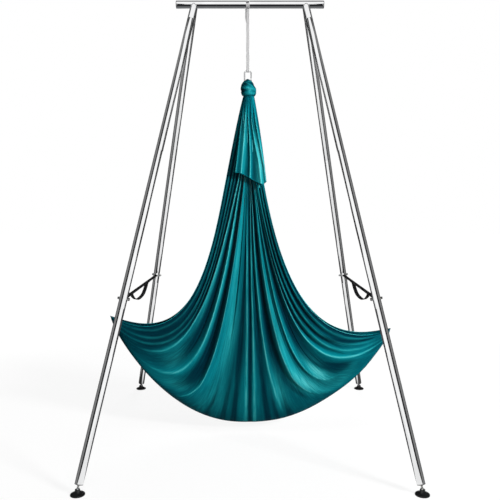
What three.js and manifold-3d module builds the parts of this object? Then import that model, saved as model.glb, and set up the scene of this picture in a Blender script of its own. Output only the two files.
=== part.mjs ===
// An aerial yoga rig: a four-legged tube stand whose crossbar carries a webbing sling, a carabiner and a
// knotted cloth hammock. Millimetres, +Z up. The origin is on the floor at the middle of the four feet,
// +X is to the right seen from the front, and the front of the rig faces -Y.

import * as THREE from 'three';
import { mergeVertices } from 'three/addons/utils/BufferGeometryUtils.js';
import Module from 'manifold-3d';

const wasm = await Module();
wasm.setup();

// Stand
const barHeight = 2925;
const barLength = 985;
const barRadius = 25;
const barWall = 2;
const legTopSpan = 746;
const footSpanX = 1886;
const footSpanY = 1900;
const tubeRadius = 24;
const tubeWall = 2;
const stubLength = 115;
// Shares of a leg's length, rounded to whole millimetres
const lowerTubeShare = 0.3162;
const middleTubeShare = 0.3278;
const lowerSpigotLength = 95;
const upperSpigotLength = 60;
const stubSpigotLength = 38;
const spigotWall = 1.6;
const spigotSeatLength = 12;
const slipGap = 0.3;
const seatGap = 0.3;
const tubeSides = 16;

// End caps of the crossbar
const capFlange = 3;
const capDepth = 22;
const capRimRound = 1.5;

// Feet
const ballHeight = 30;
const ballRadius = 8;
const ballGap = 0.45;
const stemRadius = 5;
const stemNeckRadius = 3.6;
const stemHexFlats = 13;
const stemHexStart = 9;
const stemHexHeight = 5;
const stemTop = 78;
const lockNutFlats = 17;
const lockNutHeight = 6;
const threadGap = 0.4;
const tubeEndRise = 30;
const plugFlange = 3.2;
const plugDepth = 28;
const padRadius = 40.5;
const padRim = 4.5;
const padLipRise = 2.3;
const padHubRadius = 14;
const padSides = 16;

// Strap bolts and bails, on the legs just above the lower joints
const boltRise = 62;
const boltRadius = 4;
const boltHoleGap = 0.3;
const boltHeadFlats = 13;
const boltHeadHeight = 5.3;
const boltNutHeight = 6.5;
const boltTipLength = 2;
const bailRodRadius = 2.5;
const bailSideGap = 0.7;
const bailEyeWall = 3.5;
const bailReach = 46;
const bailCorner = 9;

// Side straps, their keepers and their slack tails
const strapWidth = 25;
const strapPly = 2.2;
const strapLoopGap = 1.2;
const strapTaperLength = 16;
const strapSewnLength = 60;
const keeperWall = 2.5;
const keeperLength = 24;
const keeperSlack = 0.9;
const keeperFromLoop = 151;
const tailFrontFromLoop = 106;
const tailRearFromLoop = 371;
const tailFlatLength = 45;
const tailSag = 66;
const tailSteps = 26;

// Webbing sling
const hangX = -15;
const wrapWidth = 24;
const wrapPly = 2.4;
const wrapGap = 0.4;
const slingWidth = 20;
const slingPly = 2.4;
const slingTopGap = 0.6;
const slingLength = 410;
const slingClosedLength = 110;
const slingEyeGap = 1.1;

// Carabiner
const carabinerWidth = 53;
const carabinerHeight = 86;
const carabinerRod = 4.5;
const carabinerCorner = 14;
const gateRod = 4;
const gateTongue = 4;
const gateForkDepth = 11;
const gateForkRise = 2.4;
const gateGap = 0.45;
const gatePinRadius = 1;
const gatePinGap = 0.2;
const gateLength = 36;

// Cloth: knot, hammock and tail
const clothThickness = 1.6;
const knotHeight = 119;
const knotBite = 26;
const knotHalfWidth = 51;
const knotHalfDepth = 44;
const knotX = -10;
const knotLean = -8;
const knotLump = 3;
const knotRockRoom = 3.8;
const knotBandWidth = 4;
const neckHalfWidth = 35.5;
const neckHalfDepth = 18;
const floorClearance = 57;
const leftTipReach = 975;
const rightTipReach = 981;
const leftTipRise = 756;
const rightTipRise = 668;
const pouchHalfDepth = 100;
const foldDepth = 22;
const foldEase = 250;
const foldCount = 8;
const hammockColumns = 28;
const hammockRows = 20;
const tailClothLeftTop = -40;
const tailClothRightTop = 28;
const tailClothLeftHem = -101;
const tailClothRightHem = 110;
const tailClothLeftLength = 514;
const tailClothRightLength = 585;
const tailClothTopStand = 7;
const tailClothHemStand = 25;
const tailClothFoldDepth = 10;
const tailClothFolds = 5;
const tailClothColumns = 20;
const tailClothRows = 8;

// Shares, each of the size that its comment names
const bottomPowerShare = 2.22; // how the lower edge rises towards the tips
const endPowerShare = 1.9; // how the fold lines gather towards the tips
const leftOutShares = [0.252, 0.245]; // of leftTipReach: the left selvedge's two inner control points
const leftDropShares = [0.328, 0.807]; // of the hammock's drop, for the same points
const rightOutShares = [0.127, 0.424]; // of rightTipReach
const rightDropShares = [0.535, 0.774]; // of the hammock's drop
const middleDropShares = [0.362, 0.627]; // of the hammock's drop, for the fold line down the middle
const swagDropShare = 0.332; // of the hammock's drop: how far the outer folds sag below a straight blend
const swagOutShare = 0.102; // of the tip's reach
const swagPowerShares = [1.3, 1]; // where between the middle and the selvedge the sag is largest
const edgeDepthShare = 0.6; // of pouchHalfDepth, at the selvedges
const knotProfileShares = [ // of the knot's height and of its half width, from the neck up
  [0, 0.76],
  [0.1, 0.86],
  [0.28, 0.97],
  [0.48, 1],
  [0.68, 0.93],
  [0.84, 0.76],
  [0.94, 0.5],
  [0.985, 0.24],
];
const padConeShares = [ // of the pad's rim-to-hub width and of its cone height, from the rim up
  [0.06, 0.1],
  [0.25, 0.22],
  [0.55, 0.42],
  [0.82, 0.68],
  [0.96, 0.9],
];
const tailHangShares = [ // of the tail's free length and of its sag, from the front
  [0, 0],
  [0.06, 0.04],
  [0.18, 0.36],
  [0.34, 0.78],
  [0.5, 0.98],
  [0.62, 1],
  [0.76, 0.82],
  [0.9, 0.4],
  [0.97, 0.1],
  [1, 0],
];
const quarterArcShare = 0.5523; // handle length of a quarter circle, of its radius

const steel = new THREE.MeshStandardMaterial({ color: 0xc4c7c9, metalness: 0.95, roughness: 0.18 });
const zinc = new THREE.MeshStandardMaterial({ color: 0xb4b8ba, metalness: 0.9, roughness: 0.35 });
const blackPlastic = new THREE.MeshStandardMaterial({ color: 0x161617, metalness: 0, roughness: 0.45 });
const rubber = new THREE.MeshStandardMaterial({ color: 0x141414, metalness: 0, roughness: 0.7 });
const blackWebbing = new THREE.MeshStandardMaterial({ color: 0x101011, metalness: 0, roughness: 0.85 });
const paleWebbing = new THREE.MeshStandardMaterial({ color: 0xd6d6d4, metalness: 0, roughness: 0.85 });
const tealCloth = new THREE.MeshStandardMaterial({ color: 0x0a8287, metalness: 0, roughness: 0.4 });

const axisX = new THREE.Vector3(1, 0, 0);
const axisY = new THREE.Vector3(0, 1, 0);
const axisZ = new THREE.Vector3(0, 0, 1);
const quarterTurn = Math.PI / 2;
const fullTurn = 2 * Math.PI;

// Closed meshes: merge shared corners, drop empty triangles and turn the faces outwards.
function tidy(geometry) {
  const bare = new THREE.BufferGeometry();
  bare.setAttribute('position', geometry.getAttribute('position').clone());
  if (geometry.index) bare.setIndex(geometry.index.clone());
  const merged = mergeVertices(bare);
  const index = merged.index.array;
  const position = merged.getAttribute('position');
  const corner = [new THREE.Vector3(), new THREE.Vector3(), new THREE.Vector3()];
  const kept = [];
  let volume = 0;
  for (let i = 0; i < index.length; i += 3) {
    const [a, b, c] = [index[i], index[i + 1], index[i + 2]];
    if (a === b || b === c || c === a) continue;
    kept.push(a, b, c);
    corner.forEach((v, k) => v.fromBufferAttribute(position, index[i + k]));
    volume += corner[0].dot(corner[1].clone().cross(corner[2]));
  }
  if (volume < 0) {
    for (let i = 0; i < kept.length; i += 3) [kept[i], kept[i + 1]] = [kept[i + 1], kept[i]];
  }
  merged.setIndex(kept);
  return merged;
}

function solidOf(geometry) {
  const closed = tidy(geometry);
  return new wasm.Manifold(new wasm.Mesh({
    numProp: 3,
    vertProperties: new Float32Array(closed.getAttribute('position').array),
    triVerts: new Uint32Array(closed.index.array),
  }));
}

function geometryOf(solid) {
  const mesh = solid.getMesh();
  const geometry = new THREE.BufferGeometry();
  geometry.setAttribute('position', new THREE.Float32BufferAttribute(mesh.vertProperties, 3));
  geometry.setIndex(Array.from(mesh.triVerts));
  return geometry;
}

function joined(...geometries) {
  return geometryOf(geometries.map(solidOf).reduce((whole, next) => whole.add(next)));
}

function cut(geometry, ...tools) {
  return geometryOf(tools.map(solidOf).reduce((whole, next) => whole.subtract(next), solidOf(geometry)));
}

// A profile of [radius, height] pairs turned about Z.
function turned(profile, sides = tubeSides) {
  const points = profile.map(([radius, height]) => new THREE.Vector2(radius, height));
  return new THREE.LatheGeometry(points, sides).rotateX(quarterTurn);
}

function ringProfile(inner, outer, low, high) {
  return [[inner, low], [outer, low], [outer, high], [inner, high], [inner, low]];
}

function rod(radius, low, high, sides = tubeSides) {
  return turned([[0, low], [radius, low], [radius, high], [0, high]], sides);
}

function circlePoints(radius, sides, centreX = 0, centreY = 0) {
  return Array.from({ length: sides }, (_, i) => {
    const angle = (fullTurn * i) / sides;
    return new THREE.Vector2(centreX + radius * Math.cos(angle), centreY + radius * Math.sin(angle));
  });
}

function extruded(points, holes, low, high) {
  const shape = new THREE.Shape(points);
  holes.forEach((hole) => shape.holes.push(new THREE.Path(hole)));
  const geometry = new THREE.ExtrudeGeometry(shape, { depth: high - low, steps: 1, bevelEnabled: false });
  return geometry.translate(0, 0, low);
}

function hexPrism(flats, low, high, holeRadius = 0, holeSides = 16) {
  const points = circlePoints(flats / Math.sqrt(3), 6);
  const holes = holeRadius > 0 ? [circlePoints(holeRadius, holeSides)] : [];
  return extruded(points, holes, low, high);
}

// A side view drawn in Y and Z, extruded along X and centred there.
function acrossX(points, holes, width) {
  const geometry = extruded(points, holes, -width / 2, width / 2);
  return geometry.applyMatrix4(new THREE.Matrix4().makeBasis(axisY, axisZ, axisX));
}

// A front view drawn in X and Z, extruded along Y and centred there.
function acrossY(points, holes, width) {
  const geometry = extruded(points, holes, -width / 2, width / 2);
  return geometry.applyMatrix4(new THREE.Matrix4().makeBasis(axisX, axisZ, axisY.clone().negate()));
}

function alongPath(path, radius, steps, sides) {
  const section = new THREE.Shape(circlePoints(radius, sides));
  return new THREE.ExtrudeGeometry(section, { steps, extrudePath: path, bevelEnabled: false });
}

// A path of straight runs through corner points, each inner corner rounded to its radius.
function roundedPath(corners, radius) {
  const path = new THREE.CurvePath();
  let last = corners[0];
  for (let i = 1; i < corners.length - 1; i += 1) {
    const corner = corners[i];
    const back = corners[i - 1].clone().sub(corner).normalize();
    const onward = corners[i + 1].clone().sub(corner).normalize();
    const entry = corner.clone().addScaledVector(back, radius);
    const exit = corner.clone().addScaledVector(onward, radius);
    path.add(new THREE.LineCurve3(last, entry));
    path.add(new THREE.CubicBezierCurve3(
      entry,
      entry.clone().addScaledVector(back, -radius * quarterArcShare),
      exit.clone().addScaledVector(onward, -radius * quarterArcShare),
      exit,
    ));
    last = exit;
  }
  path.add(new THREE.LineCurve3(last, corners[corners.length - 1]));
  return path;
}

const rig = new THREE.Group();

function place(parent, name, geometry, material) {
  const closed = tidy(geometry);
  closed.computeVertexNormals();
  const mesh = new THREE.Mesh(closed, material);
  mesh.name = name;
  parent.add(mesh);
  return mesh;
}

function frameGroup(origin, x, y, z) {
  const group = new THREE.Group();
  group.position.copy(origin);
  group.quaternion.setFromRotationMatrix(new THREE.Matrix4().makeBasis(x, y, z));
  rig.add(group);
  return group;
}

// Legs: each leans in from its foot's ball to the crossbar's axis.
const legs = [];
for (const [side, sideSign] of [['left', -1], ['right', 1]]) {
  for (const [end, endSign] of [['front', -1], ['rear', 1]]) {
    const foot = new THREE.Vector3((sideSign * footSpanX) / 2, (endSign * footSpanY) / 2, ballHeight);
    const top = new THREE.Vector3((sideSign * legTopSpan) / 2, 0, barHeight);
    const up = top.clone().sub(foot).normalize();
    const across = axisX.clone().addScaledVector(up, -axisX.dot(up)).normalize();
    const through = up.clone().cross(across);
    legs.push({ side, sideSign, end, endSign, foot, top, up, across, through, length: top.distanceTo(foot) });
  }
}
const legLength = legs[0].length;
const lowerJoint = tubeEndRise + Math.round(legLength * lowerTubeShare);
const middleJoint = lowerJoint + Math.round(legLength * middleTubeShare);
const stubEnd = legLength - stubLength;
const boltStation = lowerJoint + boltRise;
const boreRadius = tubeRadius - tubeWall;
const spigotRadius = boreRadius - slipGap;

// The crossbar, with a stub welded on for each leg and each stub's bore left open at its lower end.
function crossbar() {
  const half = barLength / 2;
  const lie = (geometry) => geometry.rotateY(quarterTurn).translate(0, 0, barHeight);
  const outer = lie(rod(barRadius, -half, half));
  const bore = lie(rod(barRadius - barWall, -half - capFlange, half + capFlange));
  const onLeg = (geometry, leg) => geometry.applyMatrix4(
    new THREE.Matrix4().makeBasis(leg.across, leg.through, leg.up).setPosition(leg.foot),
  );
  let whole = solidOf(outer);
  legs.forEach((leg) => {
    whole = whole.add(solidOf(onLeg(rod(tubeRadius, stubEnd, legLength), leg)));
  });
  legs.forEach((leg) => {
    const hollow = solidOf(onLeg(rod(boreRadius, stubEnd - capFlange, legLength), leg));
    whole = whole.subtract(hollow.subtract(solidOf(outer)));
  });
  return geometryOf(whole.subtract(solidOf(bore)));
}
place(rig, 'crossbar', crossbar(), steel);

const capProfile = [
  [0, -capDepth],
  [barRadius - barWall - slipGap, -capDepth],
  [barRadius - barWall - slipGap, seatGap],
  [barRadius, seatGap],
  [barRadius, capFlange - capRimRound],
  [barRadius - capRimRound, capFlange],
  [0, capFlange],
];
for (const [side, sideSign] of [['left', -1], ['right', 1]]) {
  const cap = turned(capProfile).rotateY(sideSign * quarterTurn);
  place(rig, `bar_cap_${side}`, cap.translate((sideSign * barLength) / 2, 0, barHeight), blackPlastic);
}

// A leg tube from low to high, with a pressed-in spigot that stands out of its top.
function legTube(low, high, spigotLength) {
  const inner = spigotRadius - spigotWall;
  return turned([
    [boreRadius, low],
    [tubeRadius, low],
    [tubeRadius, high - seatGap],
    [spigotRadius, high - seatGap],
    [spigotRadius, high + spigotLength],
    [inner, high + spigotLength],
    [inner, high - spigotSeatLength],
    [boreRadius, high - spigotSeatLength],
    [boreRadius, low],
  ]);
}

function boltHole() {
  const reach = 2 * tubeRadius;
  return rod(boltRadius + boltHoleGap, -reach, reach, 12).rotateY(quarterTurn).translate(0, 0, boltStation);
}

const plugProfile = [
  [stemRadius + threadGap, tubeEndRise - seatGap - plugFlange],
  [tubeRadius, tubeEndRise - seatGap - plugFlange],
  [tubeRadius, tubeEndRise - seatGap],
  [boreRadius - slipGap, tubeEndRise - seatGap],
  [boreRadius - slipGap, tubeEndRise + plugDepth],
  [stemRadius + threadGap, tubeEndRise + plugDepth],
  [stemRadius + threadGap, tubeEndRise - seatGap - plugFlange],
];
const nutTop = tubeEndRise - 2 * seatGap - plugFlange;

// The levelling stem: a ball, a neck, wrench flats and a threaded shank.
function footStem() {
  const ballSteps = 7;
  const neckAngle = Math.asin(stemNeckRadius / ballRadius);
  const ball = Array.from({ length: ballSteps + 1 }, (_, i) => {
    const angle = Math.PI - ((Math.PI - neckAngle) * i) / ballSteps;
    return [i === 0 ? 0 : ballRadius * Math.sin(angle), ballRadius * Math.cos(angle)];
  });
  const hexMiddle = stemHexStart + stemHexHeight / 2;
  const shank = turned([
    ...ball,
    [stemNeckRadius, hexMiddle],
    [stemRadius, hexMiddle],
    [stemRadius, stemTop],
    [0, stemTop],
  ], 12);
  return joined(shank, hexPrism(stemHexFlats, stemHexStart, stemHexStart + stemHexHeight));
}

// The pad: a low cone with a socket that cups the ball to just above its equator.
function footPad() {
  const socketRadius = ballRadius + ballGap;
  const lipAngle = Math.asin(padLipRise / socketRadius);
  const socketSteps = 5;
  const socket = Array.from({ length: socketSteps + 1 }, (_, i) => {
    const angle = lipAngle - ((lipAngle + quarterTurn) * i) / socketSteps;
    return [i === socketSteps ? 0 : socketRadius * Math.cos(angle), ballHeight + socketRadius * Math.sin(angle)];
  });
  const lipHeight = ballHeight + padLipRise;
  const cone = padConeShares.map(([inShare, upShare]) => [
    padRadius - (padRadius - padHubRadius) * inShare,
    padRim + (lipHeight - padRim) * upShare,
  ]);
  return turned([[0, 0], [padRadius, 0], [padRadius, padRim], ...cone, [padHubRadius, lipHeight], ...socket],
    padSides);
}

const bailSide = tubeRadius + bailSideGap + bailRodRadius;
const bailOuter = bailSide + bailRodRadius;

function strapBolt() {
  const head = hexPrism(boltHeadFlats, -bailOuter - seatGap - boltHeadHeight, -bailOuter - seatGap);
  const tip = bailOuter + seatGap + boltNutHeight + boltTipLength;
  return joined(head, rod(boltRadius, -bailOuter - 2 * seatGap, tip, 12)).rotateY(quarterTurn);
}

function strapNut() {
  const low = bailOuter + seatGap;
  const nut = hexPrism(boltHeadFlats, low, low + boltNutHeight, boltRadius + boltHoleGap, 12);
  return nut.rotateY(quarterTurn);
}

// The bail: a bent rod round the tube, with an eye at each end for the bolt.
function bail() {
  const eyeHole = boltRadius + boltHoleGap;
  const eyeOuter = eyeHole + bailEyeWall;
  const rodStart = eyeHole + bailEyeWall / 2;
  const corners = [
    new THREE.Vector3(-bailSide, rodStart, 0),
    new THREE.Vector3(-bailSide, bailReach, 0),
    new THREE.Vector3(bailSide, bailReach, 0),
    new THREE.Vector3(bailSide, rodStart, 0),
  ];
  const bow = alongPath(roundedPath(corners, bailCorner), bailRodRadius, 16, 8);
  const eyes = [-bailSide, bailSide].map((x) => turned(
    ringProfile(eyeHole, eyeOuter, x - bailRodRadius, x + bailRodRadius), 12,
  ).rotateY(quarterTurn));
  return joined(bow, ...eyes);
}

const bowPoints = {};
legs.forEach((leg) => {
  const place3 = (name, geometry, material) => place(group, `${name}_${leg.end}_${leg.side}`, geometry, material);
  const group = frameGroup(leg.foot, leg.across, leg.through, leg.up);
  const lowerTube = legTube(tubeEndRise, lowerJoint, lowerSpigotLength);
  place3('leg_lower', cut(lowerTube, boltHole()), steel);
  place3('leg_middle', cut(legTube(lowerJoint, middleJoint, upperSpigotLength), boltHole()), steel);
  place3('leg_upper', legTube(middleJoint, stubEnd - seatGap, stubSpigotLength), steel);
  place3('foot_plug', turned(plugProfile), blackPlastic);
  place3('foot_nut', hexPrism(lockNutFlats, nutTop - lockNutHeight, nutTop, stemRadius + threadGap), zinc);
  place3('foot_stem', footStem(), zinc);
  const pad = place(rig, `foot_pad_${leg.end}_${leg.side}`, footPad(), rubber);
  pad.position.set(leg.foot.x, leg.foot.y, 0);

  const bolt = place3('strap_bolt', strapBolt(), zinc);
  const nut = place3('strap_nut', strapNut(), zinc);
  [bolt, nut].forEach((mesh) => {
    mesh.position.z = boltStation;
    mesh.rotation.z = leg.sideSign > 0 ? Math.PI : 0;
  });
  const inward = axisY.clone().multiplyScalar(-leg.endSign);
  const bailMesh = place3('strap_bail', bail(), zinc);
  bailMesh.position.z = boltStation;
  bailMesh.rotation.x = Math.atan2(inward.dot(leg.up), inward.dot(leg.through));
  bowPoints[`${leg.end}_${leg.side}`] = inward.clone().addScaledVector(leg.across, -inward.dot(leg.across))
    .normalize().multiplyScalar(bailReach).addScaledVector(leg.up, boltStation).add(leg.foot);
});

// One side strap from bow to bow: a loop round each bow, a doubled sewn length, and a single ply between.
function sideStrap(halfSpan) {
  const holeRadius = bailRodRadius + strapLoopGap;
  const loopRadius = holeRadius + strapPly;
  const arcSteps = 8;
  const arcHalf = (2 / 3) * Math.PI;
  const sewnEnd = halfSpan - strapTaperLength - strapSewnLength;
  const endPoints = (sign) => {
    const arc = Array.from({ length: arcSteps + 1 }, (_, i) => {
      const angle = -arcHalf + (2 * arcHalf * i) / arcSteps;
      return new THREE.Vector2(
        sign * (halfSpan + loopRadius * Math.cos(angle)),
        sign * loopRadius * Math.sin(angle),
      );
    });
    const step = (along, half) => new THREE.Vector2(sign * along, sign * half);
    return [
      step(sewnEnd - strapPly, -strapPly / 2),
      step(sewnEnd, -strapPly),
      step(halfSpan - strapTaperLength, -strapPly),
      ...arc,
      step(halfSpan - strapTaperLength, strapPly),
      step(sewnEnd, strapPly),
      step(sewnEnd - strapPly, strapPly / 2),
    ];
  };
  const holes = [-halfSpan, halfSpan].map((y) => circlePoints(holeRadius, 12, y, 0));
  return acrossX([...endPoints(1), ...endPoints(-1)], holes, strapWidth);
}

// A ribbon of one ply along a centre line of [y, z] points, seen from the side.
function ribbonOutline(centre, thickness) {
  const offset = (sign) => centre.map((point, i) => {
    const before = centre[Math.max(i - 1, 0)];
    const after = centre[Math.min(i + 1, centre.length - 1)];
    const along = after.clone().sub(before).normalize();
    return new THREE.Vector2(point.x - (sign * along.y * thickness) / 2, point.y + (sign * along.x * thickness) / 2);
  });
  return [...offset(-1), ...offset(1).reverse()];
}

// The slack tail under a strap: flat against it at both ends and hanging between them.
function strapTail(downX, loopPlace) {
  const seat = -(strapPly + seatGap);
  const tailFrontEnd = tailFrontFromLoop - loopPlace;
  const tailRearEnd = loopPlace - tailRearFromLoop;
  const freeStart = tailFrontEnd + tailFlatLength;
  const freeEnd = tailRearEnd - tailFlatLength;
  const hang = new THREE.SplineCurve(tailHangShares.map(([along, down]) => new THREE.Vector2(
    freeStart + (freeEnd - freeStart) * along,
    seat - tailSag * down,
  )));
  const centre = [
    new THREE.Vector2(tailFrontEnd, seat),
    ...hang.getSpacedPoints(tailSteps),
    new THREE.Vector2(tailRearEnd, seat),
  ];
  const geometry = acrossX(ribbonOutline(centre, strapPly), [], strapWidth);
  const plumb = new THREE.Matrix4().set(1, 0, downX, 0, 0, 1, 0, 0, 0, 0, 1, 0, 0, 0, 0, 1);
  return geometry.applyMatrix4(plumb);
}

// The keeper: a rectangular sleeve round the strap and the front end of its tail.
function keeper(loopPlace) {
  const innerHalf = strapWidth / 2 + keeperSlack;
  const innerTop = strapPly / 2 + keeperSlack;
  const innerLow = -(strapPly * 1.5 + seatGap + keeperSlack);
  const rectangle = (halfX, low, high) => [
    new THREE.Vector2(-halfX, low),
    new THREE.Vector2(halfX, low),
    new THREE.Vector2(halfX, high),
    new THREE.Vector2(-halfX, high),
  ];
  return acrossY(
    rectangle(innerHalf + keeperWall, innerLow - keeperWall, innerTop + keeperWall),
    [rectangle(innerHalf, innerLow, innerTop)],
    keeperLength,
  ).translate(0, keeperFromLoop - loopPlace, 0);
}

for (const side of ['left', 'right']) {
  const front = bowPoints[`front_${side}`];
  const rear = bowPoints[`rear_${side}`];
  const leg = legs.find((one) => one.side === side);
  const width = leg.across.clone().addScaledVector(axisY, -leg.across.dot(axisY)).normalize();
  const normal = width.clone().cross(axisY);
  const group = frameGroup(front.clone().add(rear).multiplyScalar(0.5), width, axisY, normal);
  const halfSpan = rear.clone().sub(front).y / 2;
  const loopPlace = Math.round(halfSpan);
  place(group, `side_strap_${side}`, sideStrap(halfSpan), blackWebbing);
  place(group, `strap_tail_${side}`, strapTail(width.z / normal.z, loopPlace), blackWebbing);
  place(group, `strap_keeper_${side}`, keeper(loopPlace), blackPlastic);
}

// Sling: a wrap round the bar, and a doubled strap that hangs from it with an eye for the carabiner.
const wrapInner = barRadius + wrapGap;
const wrapProfile = ringProfile(wrapInner, wrapInner + wrapPly, -wrapWidth / 2, wrapWidth / 2);
place(rig, 'sling_wrap', turned(wrapProfile).rotateY(quarterTurn).translate(hangX, 0, barHeight), paleWebbing);

const slingTop = barHeight - wrapInner - wrapPly - slingTopGap;
const rodAxisZ = slingTop - slingLength;

function slingStrap() {
  const holeRadius = carabinerRod + slingEyeGap;
  const eyeRadius = holeRadius + slingPly;
  const arcSteps = 14;
  const arc = (radius) => Array.from({ length: arcSteps + 1 }, (_, i) => {
    const angle = -Math.PI + (Math.PI * i) / arcSteps;
    return new THREE.Vector2(radius * Math.cos(angle), -slingLength + radius * Math.sin(angle));
  });
  const flat = slingPly + seatGap / 2;
  const outline = [
    new THREE.Vector2(-flat, 0),
    new THREE.Vector2(-flat, -slingClosedLength),
    ...arc(eyeRadius),
    new THREE.Vector2(flat, -slingClosedLength),
    new THREE.Vector2(flat, 0),
  ];
  const hole = [new THREE.Vector2(0, -slingClosedLength - eyeRadius), ...arc(holeRadius)];
  return acrossX(outline, [hole], slingWidth).translate(hangX, 0, slingTop);
}
place(rig, 'sling_strap', slingStrap(), paleWebbing);

// Carabiner: a rounded frame with its gate on the right, hinged low on a pin in a forked end.
const frameHalf = carabinerWidth / 2 - carabinerRod;
const frameTop = rodAxisZ;
const frameBottom = frameTop - (carabinerHeight - 2 * carabinerRod);
const gateLow = (frameTop + frameBottom - gateLength) / 2;
const pinZ = gateLow + gateRod + gateGap;

function carabinerFrame() {
  const corners = [
    new THREE.Vector3(frameHalf, 0, gateLow),
    new THREE.Vector3(frameHalf, 0, frameBottom),
    new THREE.Vector3(-frameHalf, 0, frameBottom),
    new THREE.Vector3(-frameHalf, 0, frameTop),
    new THREE.Vector3(frameHalf, 0, frameTop),
    new THREE.Vector3(frameHalf, 0, gateLow + gateLength),
  ];
  const bent = alongPath(roundedPath(corners, carabinerCorner), carabinerRod, 36, 10);
  const forkTop = pinZ + gateForkRise;
  const fork = rod(carabinerRod, gateLow - seatGap, forkTop, 10).translate(frameHalf, 0, 0);
  const slotHalf = gateTongue / 2 + gateGap;
  const slot = new THREE.BoxGeometry(gateForkDepth, 2 * slotHalf, forkTop - gateLow + gateForkDepth);
  slot.translate(frameHalf, 0, (forkTop + gateLow + gateForkDepth) / 2);
  return cut(joined(bent, fork), slot, gatePinRod(gatePinRadius + gatePinGap)).translate(hangX, 0, 0);
}

function gatePinRod(radius) {
  const half = carabinerRod;
  return rod(radius, -half, half, 10).rotateX(quarterTurn).translate(frameHalf, 0, pinZ);
}

function carabinerGate() {
  const top = gateLow + gateLength - gateGap;
  const shoulder = pinZ + gateRod + gateGap;
  const body = rod(gateRod, shoulder, top, 12).translate(frameHalf, 0, 0);
  const tongue = acrossY(circlePoints(gateRod, 16), [], gateTongue).translate(frameHalf, 0, pinZ);
  const web = new THREE.BoxGeometry(2 * gateRod * Math.SQRT1_2, gateTongue, shoulder - pinZ + gateGap);
  web.translate(frameHalf, 0, (shoulder + gateGap + pinZ) / 2);
  return cut(joined(body, tongue, web), gatePinRod(gatePinRadius + gatePinGap)).translate(hangX, 0, 0);
}
place(rig, 'carabiner', carabinerFrame(), steel);
place(rig, 'carabiner_gate', carabinerGate(), steel);
place(rig, 'gate_pin', gatePinRod(gatePinRadius).translate(hangX, 0, 0), zinc);

// Knot: a lumpy cap of wound cloth, hollowed where the carabiner's lower end sits. A narrow band of it
// grips the middle of the rod, and on both sides of the band there is room to rock.
const knotBottom = frameBottom + knotBite - knotHeight;

function knotSkin() {
  const sides = 24;
  const points = [];
  const triangles = [];
  const rows = knotProfileShares.map(([up, out]) => {
    const first = points.length / 3;
    for (let i = 0; i < sides; i += 1) {
      const angle = (fullTurn * i) / sides;
      const lump = knotLump * Math.cos(3 * angle + 4 * up) * Math.sin(Math.PI * up);
      const x = knotX + knotLean * up + (knotHalfWidth * out + lump) * Math.cos(angle);
      const y = (knotHalfDepth * out + lump) * Math.sin(angle);
      points.push(x, y, knotBottom + knotHeight * up);
    }
    return first;
  });
  const apex = points.length / 3;
  points.push(knotX + knotLean, 0, knotBottom + knotHeight, knotX, 0, knotBottom);
  for (let i = 0; i < sides; i += 1) {
    const j = (i + 1) % sides;
    for (let k = 0; k < rows.length - 1; k += 1) {
      const [low, high] = [rows[k], rows[k + 1]];
      triangles.push(low + i, low + j, high + j, low + i, high + j, high + i);
    }
    triangles.push(rows[rows.length - 1] + i, rows[rows.length - 1] + j, apex);
    triangles.push(rows[0] + j, rows[0] + i, apex + 1);
  }
  const geometry = new THREE.BufferGeometry();
  geometry.setAttribute('position', new THREE.Float32BufferAttribute(points, 3));
  geometry.setIndex(triangles);
  return geometry;
}

function knotCavity() {
  const corners = [
    new THREE.Vector3(frameHalf, 0, frameTop),
    new THREE.Vector3(frameHalf, 0, frameBottom),
    new THREE.Vector3(-frameHalf, 0, frameBottom),
    new THREE.Vector3(-frameHalf, 0, frameTop),
  ];
  const path = roundedPath(corners, carabinerCorner);
  const room = alongPath(path, carabinerRod + knotRockRoom, 24, 10);
  const band = new THREE.BoxGeometry(knotBandWidth, knotHeight, knotHeight).translate(0, 0, frameBottom);
  return joined(cut(room, band), alongPath(path, carabinerRod + seatGap, 24, 10)).translate(hangX, 0, 0);
}
place(rig, 'hammock_knot', cut(knotSkin(), knotCavity()), tealCloth);

// A closed shell from a grid of points and the grid's own unit normals.
function clothShell(grid, normals) {
  const columns = grid.length;
  const rows = grid[0].length;
  const half = clothThickness / 2;
  const points = [];
  for (const sign of [1, -1]) {
    grid.forEach((column, i) => column.forEach((point, j) => {
      points.push(...point.clone().addScaledVector(normals[i][j], sign * half).toArray());
    }));
  }
  const inner = (i, j) => i * rows + j;
  const outer = (i, j) => columns * rows + i * rows + j;
  const triangles = [];
  const quad = (a, b, c, d) => triangles.push(a, b, c, a, c, d);
  for (let i = 0; i < columns - 1; i += 1) {
    for (let j = 0; j < rows - 1; j += 1) {
      quad(inner(i, j), inner(i + 1, j), inner(i + 1, j + 1), inner(i, j + 1));
      quad(outer(i, j), outer(i, j + 1), outer(i + 1, j + 1), outer(i + 1, j));
    }
    quad(inner(i, 0), outer(i, 0), outer(i + 1, 0), inner(i + 1, 0));
    quad(inner(i, rows - 1), inner(i + 1, rows - 1), outer(i + 1, rows - 1), outer(i, rows - 1));
  }
  for (let j = 0; j < rows - 1; j += 1) {
    quad(inner(0, j), inner(0, j + 1), outer(0, j + 1), outer(0, j));
    quad(inner(columns - 1, j), outer(columns - 1, j), outer(columns - 1, j + 1), inner(columns - 1, j + 1));
  }
  const geometry = new THREE.BufferGeometry();
  geometry.setAttribute('position', new THREE.Float32BufferAttribute(points, 3));
  geometry.setIndex(triangles);
  return geometry;
}

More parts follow.
